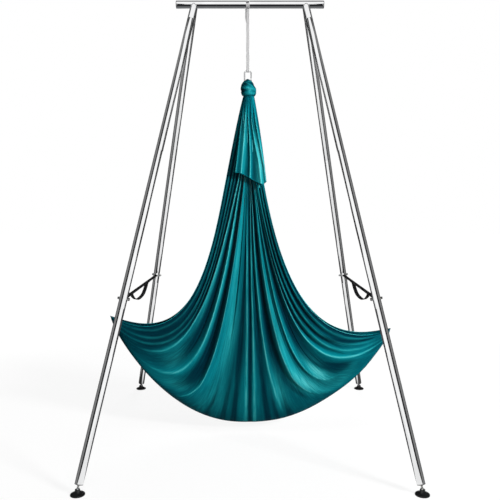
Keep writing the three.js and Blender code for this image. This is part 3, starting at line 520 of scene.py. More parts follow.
def side_strap(side):
    """The strap with a sewn loop round each bail, its slack tail hanging under it, and the keeper."""
    front, rear = (leg for leg in LEGS if leg.side == side)
    middle, half = (front.bow + rear.bow) / 2, (rear.bow[1] - front.bow[1]) / 2
    width = unit(front.across * (1, 0, 1))
    normal = cross(width, Y)
    section = band_section(STRAP_W, STRAP_T)

    def to_world(points, down):
        return middle + points[:, :1] * Y + points[:, 1:] * down

    ply, ring, neck = STRAP_T / 2, BAIL_ROD + 0.0012 + STRAP_T / 2, half - 0.016
    sewn = neck - 0.06
    arc = linspace(-2 * pi / 3, 2 * pi / 3, 14)
    loop = at(half + cos(arc) * ring, sin(arc) * ring)
    end = concatenate([at(linspace(sewn, neck, 24), -ply), loop, at(linspace(neck, sewn, 24), ply)])
    span = at(linspace(sewn - 0.02, 0.02 - sewn, 120), 0)
    line = concatenate([end, span, -end])
    patches = [swept(section, spline(to_world(line, normal), 520), width)]
    box_and_cross = (0, 1, 0, 0), (0, 1, 1, 1), (0, 0, 0, 1), (1, 1, 0, 1), (0, 1, 0, 1), (0, 1, 1, 0)
    t = linspace(0, 1, 60)
    for sign in (-1, 1):
        for x0, x1, y0, y1 in box_and_cross:
            along = sign * (sewn + 0.006 + (x0 + (x1 - x0) * t) * 0.042)
            across = (-0.5 + (y0 + (y1 - y0) * t)) * (STRAP_W - 0.005)
            up = STRAP_T + 0.0001 + 0.0003 * sin(t * (90 if x0 != x1 else 44))
            seam = middle + np.outer(along, Y) + np.outer(across, width) + np.outer(up, normal)
            patches.append(swept(disc(0.00035, 6), seam, normal + 0.3 * Y + 0.2 * width))
    piece(f"side_band_{side}", patches, BLACK_BAND, f"side_strap_{side}")

    keeper_at, sag_long, sag_deep, seat = -0.425, 0.585, -0.066, -(STRAP_T + SEAT)
    hang_shares = np.array([[0, 0], [0.05, 0.1], [0.14, 0.48], [0.28, 0.85], [0.44, 1], [0.62, 0.98],
                            [0.76, 0.82], [0.9, 0.4], [0.97, 0.1], [1, 0]])
    hang = hang_shares * [sag_long, sag_deep] + [keeper_at, seat]
    line = concatenate([[[-0.47, seat], [-0.45, seat]], hang, [[0.18, seat], [0.205, seat]]])
    slack = swept(section, spline(to_world(line, Z / width[0]), 170), width)
    piece(f"slack_band_{side}", [slack], BLACK_BAND, f"strap_tail_{side}")

    outer = rounded_box(0.0159, -0.007, 0.0045, 0.0016)
    inner = rounded_box(0.0134, -0.0045, 0.002, 0.0005)
    rings = [middle + s[:, :1] * width + s[:, 1:] * normal + Y * (y + keeper_at)
             for s, y in ((outer * 0.985, -0.012), (outer, -0.0112), (outer, 0.0112),
                          (outer * 0.985, 0.012), (inner, 0.012), (inner, -0.012))]
    piece(f"keeper_{side}", [grid(stack(rings), True, True)], PLASTIC, f"strap_keeper_{side}")


crossbar()
for one in LEGS:
    leg_tubes(one)
    foot(one)
    bolt_and_bail(one)
side_strap("left")
side_strap("right")


# Sling and carabiner
def sling():
    """The wrap round the bar, and the doubled strap with its rear ply turned aside near the top."""
    turn = linspace(0, 2 * pi, 97)[:-1]
    radius = (WRAP_IN + WRAP_OUT) / 2
    ring = at(HANG_X, radius * sin(turn), BAR_Z - radius * cos(turn))
    wrap = swept(band_section(WRAP_W, WRAP_OUT - WRAP_IN), ring, X, wrap=True)
    piece("bar_wrap", [wrap], PALE_BAND, "sling_wrap")
    tack, x = [], linspace(-0.009, 0.009, 60)
    for angle in np.radians([98, 102, 106, 110, 114, 118]):
        reach = WRAP_OUT + 0.0001 + 0.0003 * cos(x * 3000)
        row = at(HANG_X + x, -sin(angle) * reach, BAR_Z - cos(angle) * reach)
        tack.append(swept(disc(0.0008, 6), row, Z))
    piece("wrap_tack", tack, (BLACK_BAND[0], "pale_webbing"))

    eye, flat = 0.0056 + SLING_T / 2, SLING_T / 2 + 0.00015
    z = linspace(SLING_TOP, SLING_TOP - 0.11, 46)
    merge = smooth(z, 2.795, 2.85)
    front = at(HANG_X, -flat, z)
    rear = at(HANG_X - 0.0075 * merge, flat, z)
    arc = linspace(pi, 2 * pi, 40)
    bight = at(HANG_X, cos(arc) * eye, ROD_TOP + sin(arc) * eye)
    fall, rise = linspace(front[-1], bight[0], 90)[1:-1], linspace(bight[-1], rear[-1], 90)[1:-1]
    path = concatenate([front, fall, bight, rise, rear[::-1]])
    patches = [swept(band_section(SLING_W, SLING_T), path, X)]
    x, ripple = linspace(-0.008, 0.008, 30), sin(linspace(0, 40, 30))
    for height in (2.8, 2.806, 2.842, 2.848):
        seam = at(HANG_X + x, -flat * 2 - 0.0001 - 0.0002 * ripple, height)
        patches.append(swept(disc(0.0003, 6), seam, Z))
    made = piece("sling_band", patches, PALE_BAND, "sling_strap", None)
    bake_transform(made)


def carabiner():
    """A rounded frame with a flattened nose and fork, a barrelled gate, and the pin's domed ends."""
    low, tall, nose = (ROD_TOP + ROD_LOW) / 2 - 0.018, 0.036, HANG_X + ROD_HALF
    corners = [(nose, 0, low), *rod_corners()[::-1], (nose, 0, low + tall)]
    patches = [swept(disc(ROD_R, 28), rounded(corners, ROD_CORNER, 16), Y)]
    pin_z = low + 0.00445
    turn = linspace(0, pi, 14)
    cheek = concatenate([at(cos(turn) * 0.0038, sin(turn) * 0.003),
                         mm((-3.8, -4.6), (3.8, -4.6))])
    for y in (-0.00345, 0.00345):
        face = (nose, y, pin_z) + np.outer(cheek[:, 0], X) + np.outer(cheek[:, 1], Z)
        slab = [face + Y * d for d in (-0.0009, 0.0009)]
        ends = [0 * s + s.mean(0) for s in slab]
        patches.append(grid(stack([ends[0], *slab, ends[1]]), False, True))
    piece("carabiner_bow", patches, BRIGHT, "carabiner", "carabiner")
    top = low + tall - 0.00045
    barrel = [[0, pin_z + 0.005], [0.0036, pin_z + 0.005], [0.004, pin_z + 0.0056],
              [0.004, top - 0.0006], [0.0035, top], [0, top]]
    neck = [[0, pin_z], [0.0026, pin_z], [0.0026, pin_z + 0.0056], [0, pin_z + 0.0056]]
    pin_axes = [X, -Z, Y]
    tongue = block(0, 0.004, -0.002, 0.002, 0.0003, 2 / 3)
    gate = [lathe(barrel, 28, origin=(nose, 0, 0)), lathe(tongue, 28, pin_axes, (nose, 0, pin_z)),
            lathe(neck, 20, origin=(nose, 0, 0))]
    piece("gate_barrel", gate, BRIGHT, "carabiner_gate", "gate")
    rivet = mm((0, -4.8), (0.9, -4.7), (1.2, -4.4), (1, -4.2), (1, 4.2), (1.2, 4.4), (0.9, 4.7), (0, 4.8))
    piece("gate_rivet", [lathe(rivet, 18, pin_axes, (nose, 0, pin_z))], ZINC, "gate_pin", "carabiner")


def rod_corners():
    """The carabiner's corners, from the top right down, across and up."""
    return [(HANG_X + side * ROD_HALF, 0, z)
            for side, z in ((1, ROD_TOP), (-1, ROD_TOP), (-1, ROD_LOW), (1, ROD_LOW))]


def smooth(x, low, high):
    t = clip((x - low) / (high - low), 0, 1)
    return t * t * (3 - 2 * t)


def bell(*offsets):
    """exp of minus the summed squares: 1 where every offset is 0."""
    return exp(-sum(offset**2 for offset in offsets))


sling()
carabiner()


# Cloth
def fold_line(place, down):
    """The x and z of a line of the cloth: place is -1 at the left selvedge and 1 at the right, and down goes
    from 0 at the neck to 1 at the lower edge. Four control points are blended from middle to selvedge."""
    m, sign, left = abs(place), np.sign(place), place < 0
    reach, rise = where(left, LEFT_REACH, RIGHT_REACH), where(left, LEFT_RISE, RIGHT_RISE)
    out = [where(left, 0.252, 0.127), where(left, 0.245, 0.424)]
    fall = [where(left, 0.328, 0.535), where(left, 0.814, 0.787)]
    drop = NECK_Z - FLOOR_GAP
    to_tip = 1 - (1 - m) ** 1.9
    swag = m**1.3 * (1 - m) / ((1.3 / 2.3) ** 1.3 * (1 / 2.3))
    belly = where(left, 0.052 * to_tip**1.2 * (1 - to_tip**40), 0.044 * to_tip**4 * (1 - to_tip**60))
    neck = KNOT_X + place * NECK_HALF
    xs = [neck, neck + (sign * reach * out[0] - neck) * m,
          sign * reach * (out[1] * m + 0.102 * swag), sign * reach * to_tip]
    zs = [0 * m, drop * (0.362 + (fall[0] - 0.362) * m),
          drop * (0.627 + (fall[1] - 0.627) * m + 0.332 * swag), drop - rise * to_tip**2.22 + belly]
    up = 1 - down
    weights = [up**3, 3 * up * up * down, 3 * up * down * down, down**3]
    x, fallen = (sum(w * v for w, v in zip(weights, values)) for values in (xs, zs))
    return x, NECK_Z - fallen


# Ridges of the folds: the columns that a ridge runs through on its way down, its height, and how far it
# spreads to its left and right, in thousandths, and how far down it dies away, 2 if it reaches the lower edge
FRONT_RIDGES = [
    (((0, -972), (1, -975)), 7, 14, 16, 2),
    (((0, -935), (1, -930)), 9, 15, 18, 2),
    (((0, -900), (0.5, -903), (1, -892)), 10, 13, 18, 2),
    (((0, -850), (0.3, -852), (0.6, -866), (1, -840)), 34, 28, 80, 0.95),
    (((0, -700), (0.25, -605), (0.4, -565), (0.6, -590), (0.75, -650), (1, -780)), 36, 70, 75, 0.95),
    (((0, -340), (0.25, -312), (0.43, -320), (0.65, -335), (0.8, -342), (1, -420)), 44, 32, 190, 0.98),
    (((0, -200), (0.25, -112), (0.36, -66), (0.47, -44), (0.65, -24), (1, -15)), 24, 40, 18, 2),
    (((0, 120), (0.25, 86), (0.33, 57), (0.41, 40), (0.58, 27), (1, 17)), 24, 20, 24, 2),
    (((0, 220), (0.33, 143), (0.4, 114), (0.48, 101), (0.65, 97), (0.79, 107), (0.9, 128), (1, 150)), 30,
      30, 34, 1),
    (((0, 520), (0.24, 400), (0.33, 300), (0.42, 257), (0.54, 246), (0.68, 257), (0.78, 290), (0.84, 360),
      (0.9, 500)), 46, 36, 130, 0.93),
    (((0, 660), (0.3, 500), (0.48, 437), (0.6, 455), (0.68, 510), (0.75, 600), (0.8, 720)), 34, 45, 95,
      0.84),
    (((0, 740), (0.3, 757), (0.48, 780), (0.65, 830), (0.8, 868), (1, 905)), 34, 45, 30, 2),
    (((0, 868), (0.5, 872), (0.72, 898), (1, 935)), 16, 20, 18, 2),
    (((0, 915), (0.5, 922), (1, 955)), 11, 16, 16, 2),
    (((0, 965), (1, 980)), 8, 14, 12, 2),
]
BACK_RIDGES = [
    (((0, -965), (1, -970)), 8, 16, 16, 2),
    (((0, -920), (1, -925)), 10, 16, 20, 2),
    (((0, -860), (1, -870)), 20, 30, 40, 0.98),
    (((0, -700), (0.4, -720), (1, -790)), 34, 60, 70, 0.92),
    (((0, -480), (0.4, -520), (0.7, -560), (1, -640)), 40, 60, 90, 0.95),
    (((0, -260), (0.4, -300), (1, -340)), 38, 50, 60, 1.1),
    (((0, -110), (0.5, -105), (1, -100)), 26, 35, 35, 2),
    (((0, 20), (1, 15)), 22, 22, 26, 2),
    (((0, 150), (0.5, 130), (1, 110)), 30, 36, 45, 1.2),
    (((0, 330), (0.5, 300), (0.8, 330), (1, 400)), 42, 50, 90, 0.95),
    (((0, 560), (0.5, 540), (0.8, 610), (1, 700)), 38, 60, 80, 0.9),
    (((0, 760), (0.5, 770), (1, 830)), 34, 50, 50, 0.98),
    (((0, 880), (1, 885)), 14, 22, 20, 2),
    (((0, 945), (1, 950)), 9, 16, 16, 2),
]
# Painted highlight patches where the front would shine: column, way down, breadth, height and amount
PAINTED_SHEEN = [
    (0.38, 0.775, 0.12, 0.07, 0.62), (0.64, 0.7, 0.075, 0.07, 0.75), (0.3, 0.6, 0.05, 0.12, 0.35),
    (0.15, 0.87, 0.035, 0.06, 0.45), (-0.24, 0.44, 0.045, 0.12, 0.36), (-0.18, 0.66, 0.06, 0.12, 0.34),
    (-0.57, 0.36, 0.05, 0.11, 0.4), (-0.57, 0.55, 0.04, 0.1, 0.22), (-0.77, 0.75, 0.08, 0.06, 0.3),
    (-0.54, 0.83, 0.1, 0.05, 0.34), (-0.83, 0.45, 0.03, 0.15, 0.3), (0.62, 0.84, 0.2, 0.04, 0.2),
    (-0.2, 0.9, 0.1, 0.1, 0.16),
]
# Painted shade in lines where the front would have deep grooves: the columns that one runs through on its
# way down and its breadth, in thousandths, and how dark the painted shade is
GROOVE_SHADES = [
    (((0.3, 600), (0.5, 600), (0.65, 680), (0.78, 785), (0.88, 870)), 40, 0.8),
    (((0.2, 330), (0.42, 180), (0.62, 165), (0.8, 215), (0.92, 330)), 28, 0.55),
    (((0.12, -120), (0.3, -85), (0.5, -68), (1.12, -66)), 15, 0.55),
    (((0.72, 1), (1.12, -4)), 13, 0.6),
    (((0.82, -112), (1.12, -115)), 12, 0.45),
    (((0.86, -185), (1.12, -190)), 11, 0.6),
    (((0.84, 64), (1.12, 80)), 12, 0.5),
    (((0.84, 160), (1.12, 175)), 16, 0.45),
    (((0.88, 105), (1.12, 120)), 10, 0.4),
    (((0.45, -460), (0.62, -470), (0.78, -490), (0.88, -560)), 35, 0.45),
    (((0.45, 982), (0.75, 986), (1.1, 992)), 8, 0.6),
    (((0.62, 915), (0.72, 938), (0.84, 962), (1, 975)), 10, 0.6),
]
RIDGE_TOP, ROWS, COLUMNS = 0.046, 168, 401
PLEATS, PLEAT_MOUTH, PLEAT_DEEP = 30, 0.0011, 0.062


def line_at(keys, down):
    """The column, given in thousandths, that a line of the cloth has reached at each way down."""
    way, column = np.transpose(keys)
    return interp(down, way, column / 1000)


def relief(columns, down, ridges, top, line_least=0.006):
    """How far the folds stand out at each point. A ridge of height h, seen across, is h * exp(-|u| ** 1.6), u
    being the distance from its line over its spread on that side. Ridges join by the cube root of their
    summed cubes. Also gives a narrow line along each ridge, the share of a painted highlight there, and a
    slit between neighbouring ridges."""
    total, line, slit, lines = 0.0, 0.0, 0.0, []
    for keys, *sizes, end in ridges:
        height, left, right = mm(*sizes)
        centre = line_at(keys, down)
        u = (columns - centre) / where(columns < centre, left, right)
        fade = 1 - smooth(down, end - 0.22, end)
        total = total + (height * fade * exp(-abs(u) ** 1.6)) ** 3
        narrow = max(0.19 * min(left, right), line_least)
        line = line + min(height / top * 1.25, 1) * fade * bell((columns - centre) / narrow)
        lines.append(centre)
    for before, after in zip(lines, lines[1:]):
        slit = slit + bell((columns - 0.45 * before - 0.55 * after) / 0.0085)
    return np.cbrt(total), clip(line, 0, 1), clip(slit, 0, 1)


def place_of(column, down, front):
    """The folds crowd to the middle near the neck: the core columns draw in there, and the outermost ones,
    which lie close together below, spread out to the selvedge."""
    pull = clip(1 - 1.48 * (1 - down) ** 4.13, 0.2, 1) if front else 1 - 0.5 * (1 - down) ** 3
    core, m = 0.85, abs(column)
    outer = core * pull + (1 - core * pull) * (m - core) / (1 - core)
    return np.sign(column) * where(m < core, m * pull, outer)


def depth_at(place, along):
    """The cloth's distance from the middle plane, in front or behind: a full pouch that closes at the neck,
    where its section is half an ellipse, so that the front and back selvedges meet."""
    full = 0.1 * (1 - 0.4 * place**4)
    closed = (1 - smooth(1 - along * along, 0.0, 0.3)) * (1 - sqrt(1 - 0.98 * place**2))
    return (full * sin(pi * along) + 0.018 * along * abs(along)) * (1 - closed)


def hammock():
    """Each line of the cloth runs down the front, round the lower edge and up the back. Every point is set in
    from a smooth outermost surface by the height that the ridges leave over, by creases between them near the
    neck, and by a slow unevenness made of sines. The width that the neck gathers is in tight pleats: one
    column in each goes in by most of the room to the middle plane, and less and less further down."""
    rng = np.random.default_rng(5)
    pleats = linspace(-0.945, 0.945, PLEATS) + rng.uniform(-0.01, 0.01, PLEATS)
    plain = linspace(-1, 1, COLUMNS)
    plain = plain[abs(plain[:, None] - pleats).min(1) > 2 * PLEAT_MOUTH]
    columns = np.sort(concatenate([plain, pleats - PLEAT_MOUTH, pleats, pleats + PLEAT_MOUTH]))
    tuck = np.isin(columns, pleats)[:, None]
    dies = interp(columns, pleats, rng.uniform(0.62, 0.98, PLEATS))[:, None]
    even = linspace(-1, 1, ROWS)
    rows = sin(even * pi / 2) * 0.35 + even * 0.65
    c, w = np.meshgrid(columns, rows, indexing="ij")
    down = 1 - w * w
    front = 1 - smooth(w, -0.12, 0.12)
    place = place_of(c, down, True) * front + place_of(c, down, False) * (1 - front)
    x, z = fold_line(place, down)
    mean = at(x, depth_at(place, w), z)
    normal = cross(np.gradient(mean, axis=0), np.gradient(mean, axis=1))
    normal /= np.maximum(norm(normal, axis=2, keepdims=True), 1e-12)
    normal *= where(np.sum(normal * mean * (0, 1, 0), 2) < 0, -1, 1)[..., None]
    sides = (relief(c, down, ridges, RIDGE_TOP) for ridges in (FRONT_RIDGES, BACK_RIDGES))
    high, line, slit = (f * front + b * (1 - front) for f, b in zip(*sides))

    fullness = smooth(down, 0.0, 0.42) * 0.75 + 0.25 * smooth(down, 0, 0.1)
    fullness = fullness * (1 - 0.93 * smooth(down, 0.68, 0.99))
    to_middle = abs(mean[..., 1])
    room = to_middle * 0.8 + 0.004
    edge = smooth(1 - abs(c), 0.0, 0.2) * 0.85 + 0.15
    inset = (RIDGE_TOP * edge - np.minimum(high, RIDGE_TOP * edge)) * fullness
    slow = sin(3.3 * c + 4.0 * down + 1.0) * sin(6.5 * down - 2.1 * c) + 0.6 * sin(9 * c - 7 * down)
    inset = inset + slit * 0.02 * smooth(down, 0.02, 0.22) * (1 - smooth(down, 0.45, 0.8))
    inset = inset + ((0.0035 * slow + 0.004) * smooth(down, 0.25, 0.6)
                     * (1 - 0.7 * smooth(down, 0.8, 1.0)))
    inset = room * (1 - exp(-inset / room))
    spare = clip(to_middle * 0.9 - inset, 0, PLEAT_DEEP)
    inset = inset + tuck * spare * smooth(down, 0.01, 0.1) * (1 - smooth(down, dies - 0.35, dies))
    points = mean - normal * inset[..., None]

    # Painted shade: darker where the ridges leave the cloth low, less so near the lower edge, more round the
    # lower edge either side of the middle, a little in the lower middle, down the far left side, and in the
    # slits near the neck
    fold_shade = clip(1 - high / (RIDGE_TOP * (0.4 + 0.6 * edge)), 0, 1) * smooth(down, 0, 0.3)
    fold_shade = fold_shade * (1 - 0.4 * smooth(down, 0.72, 0.95))
    fold_shade = fold_shade + 0.16 * smooth(down, 0.84, 1.0) * bell((abs(c) - 0.36) / 0.3)
    fold_shade = fold_shade + 0.08 * smooth(down, 0.45, 0.75) * bell(c / 0.45) + 0.4 * smooth(-c, 0.6, 0.95)
    painted_shade = clip(fold_shade**1.25 + 0.6 * slit * (1 - smooth(down, 0.35, 0.75)), 0, 1)
    # Painted highlight patches on the front, added to the highlight lines along the ridges
    for spot, low, wide, tall, amount in PAINTED_SHEEN:
        line = line + front * amount * bell((c - spot) / wide, (down - low) / tall)
    # Painted shade along lines where grooves would be, which also takes the painted highlight out there
    for keys, wide, amount in GROOVE_SHADES:
        first, last = keys[0][0], keys[-1][0]
        ends = smooth(down, first - 0.1, first + 0.1) * (1 - smooth(down, last - 0.12, last))
        dark = front * amount * ends * bell((c - line_at(keys, down)) / wide * 1000)
        painted_shade, line = clip(painted_shade + dark, 0, 1), line * (1 - dark)
    # Painted shade at the lower wing tips, where the painted highlight is dimmed, and a dimmer painted
    # highlight on the lower left
    tip_shade, tips = 0.74, smooth(abs(c), 0.76, 0.88) * smooth(down, 0.84, 0.96)
    painted_shade = np.maximum(painted_shade, tip_shade * tips)
    line = clip(line, 0, 1) * (1 - 0.32 * smooth(-c, 0.38, 0.55) * smooth(down, 0.45, 0.7))
    line = line * (1 - 0.8 * tips)

    runs = norm(diff(mean, axis=1), axis=2).sum(1)
    width = float(lengths(points[:, ROWS // 2])[-1])
    cut = float(np.mean(runs)) * width
    patch = grid(points, rows=(columns + 1) / 2 * width, columns=lengths(mean[len(columns) // 2]))
    made = cloth("hammock_cloth", patch, "hammock", line, painted_shade)
    hems = [swept(disc(0.0016, 8), points[k], X) for k in (0, -1)]
    # Painted light on the selvedge hems: a highlight along each, stronger on the right one, and painted shade
    # on both round the lower edge
    inner = smooth(abs(np.pad(rows, 1, "edge")), 0.2, 0.42)
    painted_light, dark = concatenate([0.35 * inner, 0.75 * inner]), np.tile(tip_shade * (1 - inner), 2)
    hem = piece("hammock_hem", hems, CLOTH, None, "hammock", 60.0,
                {"painted_highlight": painted_light.repeat(8), "painted_shade": dark.repeat(8)})
    return [face_area(points), cut, width, float(runs.max()), float(runs.min())]


def cloth(name, patch, node, painted_highlight, painted_shade, mend=False):
    """A smooth piece of the cloth, with its painted highlight and painted shade at each point."""
    return piece(name, [patch], CLOTH, node, "hammock", 180.0, {"painted_highlight": painted_highlight, "painted_shade": painted_shade}, mend)


def face_area(points):
    """The area of a grid of points, from the cross products of its quads' diagonals."""
    a, b = points[1:, 1:] - points[:-1, :-1], points[1:, :-1] - points[:-1, 1:]
    return float(norm(cross(a, b), axis=2).sum() / 2)


# The knot's plan: height as a share, where its middle is, and its half width in millimetres
KNOT_PLAN = [(0, -7.5, 33.5), (0.05, -8, 38.5), (0.15, -9.5, 43), (0.4, -11.5, 46.5), (0.62, -13, 40.5),
             (0.78, -14.5, 30), (0.89, -15.5, 20), (0.97, -16, 9.5), (1, -16, 0)]
# Rolls wound round the knot: height, tilt, the side that it rises to, half its breadth, how far it stands out
KNOT_ROLLS = [(0.16, 0.035, 0.4, 0.2, 0.006), (0.46, 0.09, 2.9, 0.22, 0.0062),
              (0.47, 0.33, 3.9, 0.13, 0.007), (0.74, 0.11, 5.6, 0.17, 0.0048)]


def knot():
    """The knot: a squat cone of wound cloth. Its radius follows the height, and tilted rolls stand out from
    it, each a half ellipse across, with creases where two meet. The carabiner goes in at the top."""
    turn = linspace(0, 2 * pi, 241)[:-1]
    a, h = np.meshgrid(turn, linspace(0, 1, 130), indexing="ij")
    low = NECK_Z + SEAT
    share, centre, half = np.transpose(KNOT_PLAN)
    centre, half = interp(h, share, centre / 1000), interp(h, share, half / 1000)
    stand, painted_highlight = 0.0 * h, 0.0 * h
    for base, tilt, side, breadth, out in KNOT_ROLLS:
        off = (h - base - tilt * cos(a - side)) / breadth
        roll = out * sqrt(clip(1 - off**2, 0, 1))
        pleat = 0.00055 * sin(9 * off + 3 * sin(2 * a + base * 9)) * (roll > 0)
        painted_highlight = where(roll > stand, bell((off + 0.1) / 0.3), painted_highlight)
        stand = np.maximum(stand, roll + pleat)
    taper = smooth(h, 0.0, 0.06) * (1 - smooth(h, 0.88, 1.0))
    radius = half * (1 + 0.03 * sin(2 * a + 4 * h)) + stand * taper
    points = at(centre + radius * cos(a), radius * 0.86 * sin(a), low + (KNOT_TOP - low) * h)
    bottom = np.broadcast_to(np.array([-0.0075, 0, low]), (len(turn), 1, 3))
    # Painted highlight: a bright spot low on the front, a little right of the middle, and a faint light line
    # along the top of each roll
    glow = 0.45 * bell((a - 4.86) / 0.36, (h - 0.32) / 0.2)
    # Painted shade: darker in the creases where the rolls stand low, towards the top, and round the sides and
    # back away from the front right
    shade = clip(1.25 - stand / 0.0056, 0, 1) * smooth(h, 0, 0.1) + 0.62 * smooth(h, 0.42, 0.8)
    shade = shade + 0.62 - 0.5 * bell((a - 4.95) / 0.85)
    none = np.zeros((len(turn), 1))
    painted_highlight, shade = painted_highlight * taper * 0.22 + glow, clip(shade, 0, 0.95)
    points, painted_highlight, shade = (concatenate(pair, 1) for pair in ((bottom, points), (none, painted_highlight), (none, shade)))
    made = cloth("hammock_twist", grid(points, True), "hammock_knot", painted_highlight, shade, mend=True)
    right_top, *others = rod_corners()
    path = spline(rounded([right_top, *others[::-1]], ROD_CORNER, 14), 120)
    at_grip = (abs(path[:, 0] - HANG_X) < 0.0022) & (path[:, 2] < ROD_LOW + 0.005)
    room = ROD_R + where(at_grip, 0.0003, 0.0038)
    tunnel = piece("rod_room", [swept(disc(1.0, 24)[None] * room[:, None, None], path, Y)], CLOTH, None, None)
    carve = made.modifiers.new("rod_room", "BOOLEAN")
    carve.operation, carve.solver, carve.object = "DIFFERENCE", "MANIFOLD", tunnel
    graph = bpy.context.evaluated_depsgraph_get()
    carved = bpy.data.meshes.new_from_object(made.evaluated_get(graph))
    made.modifiers.clear()
    made.data = carved
    bpy.data.objects.remove(tunnel)


# Ridges of the tail: its own columns from 0 at the left edge to 1 at the right, as for the hammock
TAIL_RIDGES = [
    (((0, 30), (1, 20)), 7, 30, 60, 2),
    (((0, 240), (0.5, 220), (1, 200)), 12, 90, 110, 2),
    (((0, 400), (0.23, 390), (0.5, 465), (0.75, 490), (1, 475)), 14, 50, 65, 2),
    (((0, 620), (0.3, 600), (0.5, 680), (0.75, 800), (1, 840)), 13, 80, 100, 2),
    (((0, 820), (0.3, 840), (0.5, 900), (0.8, 980), (1, 990)), 14, 70, 70, 2),
]
UNDER_RIDGES = [
    (((0, 20), (1, 20)), 6, 40, 50, 2),
    (((0, 300), (1, 260)), 6, 80, 80, 2),
    (((0, 550), (1, 550)), 6, 60, 70, 2),
    (((0, 820), (1, 800)), 6, 50, 60, 2),
]
# How far down each layer's hem hangs, from its left edge to its right
HEM_LINE = [(0, 0.512), (0.18, 0.519), (0.36, 0.537), (0.6, 0.566), (0.825, 0.589), (0.93, 0.588), (1, 0.576)]
UNDER_LINE = [(0, 0.5), (0.5, 0.53), (0.7, 0.598), (0.8, 0.616), (0.9, 0.6), (1, 0.56)]


def tail():
    """The cloth's free end fans out over the front, with folds that deepen towards its slanting hem, and a
    second layer behind it shows its corner. A point lies off the hammock's middle line by a clearance that
    grows with the root of the way down, less what the ridges leave over."""
    drop = linspace(0, 1, 400)
    middle_z = fold_line(0 * drop, drop)[1]
    wide, tall = 200, 110
    u, v = np.meshgrid(linspace(0, 1, wide), linspace(0, 1, tall), indexing="ij")
    for name, left, right, hem_line, ridges, top, gap in (
            ("tail_front", -0.101, 0.11, HEM_LINE, TAIL_RIDGES, 0.014, 0.0),
            ("tail_behind", -0.06, 0.092, UNDER_LINE, UNDER_RIDGES, 0.006, 0.015)):
        x = ((-0.04 + 0.068 * u) * (1 - v) + (left + (right - left) * u) * v
             + 0.006 * sin(pi * v) * u)
        z = NECK_Z - interp(u, *spline(hem_line, 60).T) * v
        across = clip((x - KNOT_X) / NECK_HALF, -1, 1) * (1 - smooth(v, 0.0, 0.3))
        front = depth_at(across, -sqrt(1 - interp(-z, -middle_z, drop)))
        high, ridge_highlight, _ = relief(u, v, ridges, top, 0.014)
        inset = (top - np.minimum(high, top)) * (smooth(v, 0.0, 0.3) * 0.8 + 0.2 * sqrt(v))
        y = front - 0.007 - 0.028 * sqrt(v) + inset + gap * sqrt(v)
        points = at(x, y, z)
        # Painted highlight patches, used on the front layer only: a broad one low on the right and a fainter
        # one left of the middle
        painted_shine = 0.65 * bell((u - 0.84) / 0.14, (v - 0.8) / 0.35)
        painted_shine = painted_shine + 0.35 * bell((u - 0.22) / 0.1, (v - 0.55) / 0.35)
        # Painted shade: a dark line beside the edge of the overlapping right panel, a darker left edge near
        # the neck, and dark stripes along the top except on the right
        overlap = interp(v, (0.05, 0.3, 0.5, 0.75, 0.86), (0.6, 0.67, 0.8, 0.94, 1.0))
        shade = 0.8 * bell((u - overlap + 0.025) / 0.03) * (1 - smooth(v, 0.7, 0.88))
        shade = shade + 0.7 * bell(u / 0.3) * (1 - smooth(v, 0.1, 0.7))
        shade_stripes = (0.42 + 0.4 * cos(u * 46)) * (1 - smooth(v, 0.02, 0.24))
        shade = shade + shade_stripes * (1 - smooth(u, 0.7, 0.86))
        # Painted shade in the hollows between the ridges, more further down; the layer behind is darkened all
        # over through its gap
        hollow_shade = clip(inset / top, 0, 1) ** 1.3 * (0.4 + 0.6 * smooth(v, 0.05, 0.4))
        painted_highlight = clip(ridge_highlight * smooth(v, 0.05, 0.4) + (gap == 0) * painted_shine, 0, 1)
        patch = grid(points, rows=linspace(0, TAIL_WIDE, wide), columns=linspace(0, TAIL_LONG, tall))
        made = cloth(name, patch, "hammock_tail", painted_highlight, clip(hollow_shade + shade + gap * 30, 0, 1))
        edges = [swept(disc(0.0014, 8), points[:, -1], Z), swept(disc(0.0011, 8), points[-1], X)]
        hem = piece(name + "_hem", edges, CLOTH, None, "hammock", 60.0)
        width = float(lengths(points[:, -1])[-1])
        face_area(points) * 1.15


cloth_area = hammock()
knot()
tail()


# Studio
RAYS = "Is Camera Ray", "Is Transmission Ray", "Is Glossy Ray"


def plane(name, corners, material):
    made = bpy.data.meshes.new(name)
    made.from_pydata(corners, [], [(0, 1, 2, 3)])
    made.materials.append(material)
    shown = show(name, made)
    return shown


def level(x, y, z):
    """The corners of a level rectangle that reaches to x and y on both sides of the origin."""
    return [(-x, -y, z), (x, -y, z), (x, y, z), (-x, y, z)]


def floor():
    """White to the camera, apart from the lamps' shadows near the rig. Polished metal sees it dark behind the
    feet and white before them."""
    p = new_paint("pale_floor")
    camera_ray, through, glossy = p.light_path(*RAYS)
    x, y, _ = p.parts(p.place("Object"))
    aside = x.join("ABSOLUTE")
    near_rear_feet = aside.between(0.45, 0.55) * y.between(0.88, 0.96, 1.0, 0.0)
    ahead = y.between(0.5, 0.75, 1.0, 0.0).join("MAXIMUM", near_rear_feet)
    ahead = ahead * (1 - aside.between(0.9, 0.94) * y.between(0.35, 0.45))
    seen = camera_ray.join("MAXIMUM", through).join("MAXIMUM", glossy * ahead)
    tone = p.blend(glossy, (0.34, 0.34, 0.34), (0.05, 0.05, 0.05))
    lit = p.node("ShaderNodeBsdfDiffuse", {"Color": p.blend(camera_ray, tone, (0.85, 0.85, 0.85))})
    glow = p.node("ShaderNodeEmission", {"Color": WHITE, "Strength": 1.02})
    share = (x * x + y * y).between(4.0, 16.0, 0.86, 1.0)
    mixed = p.node("ShaderNodeMixShader", {0: seen * share, 1: lit, 2: glow})
    plane("floor", level(30, 30, -0.0006), p.finish("ShaderNodeOutputMaterial", mixed))


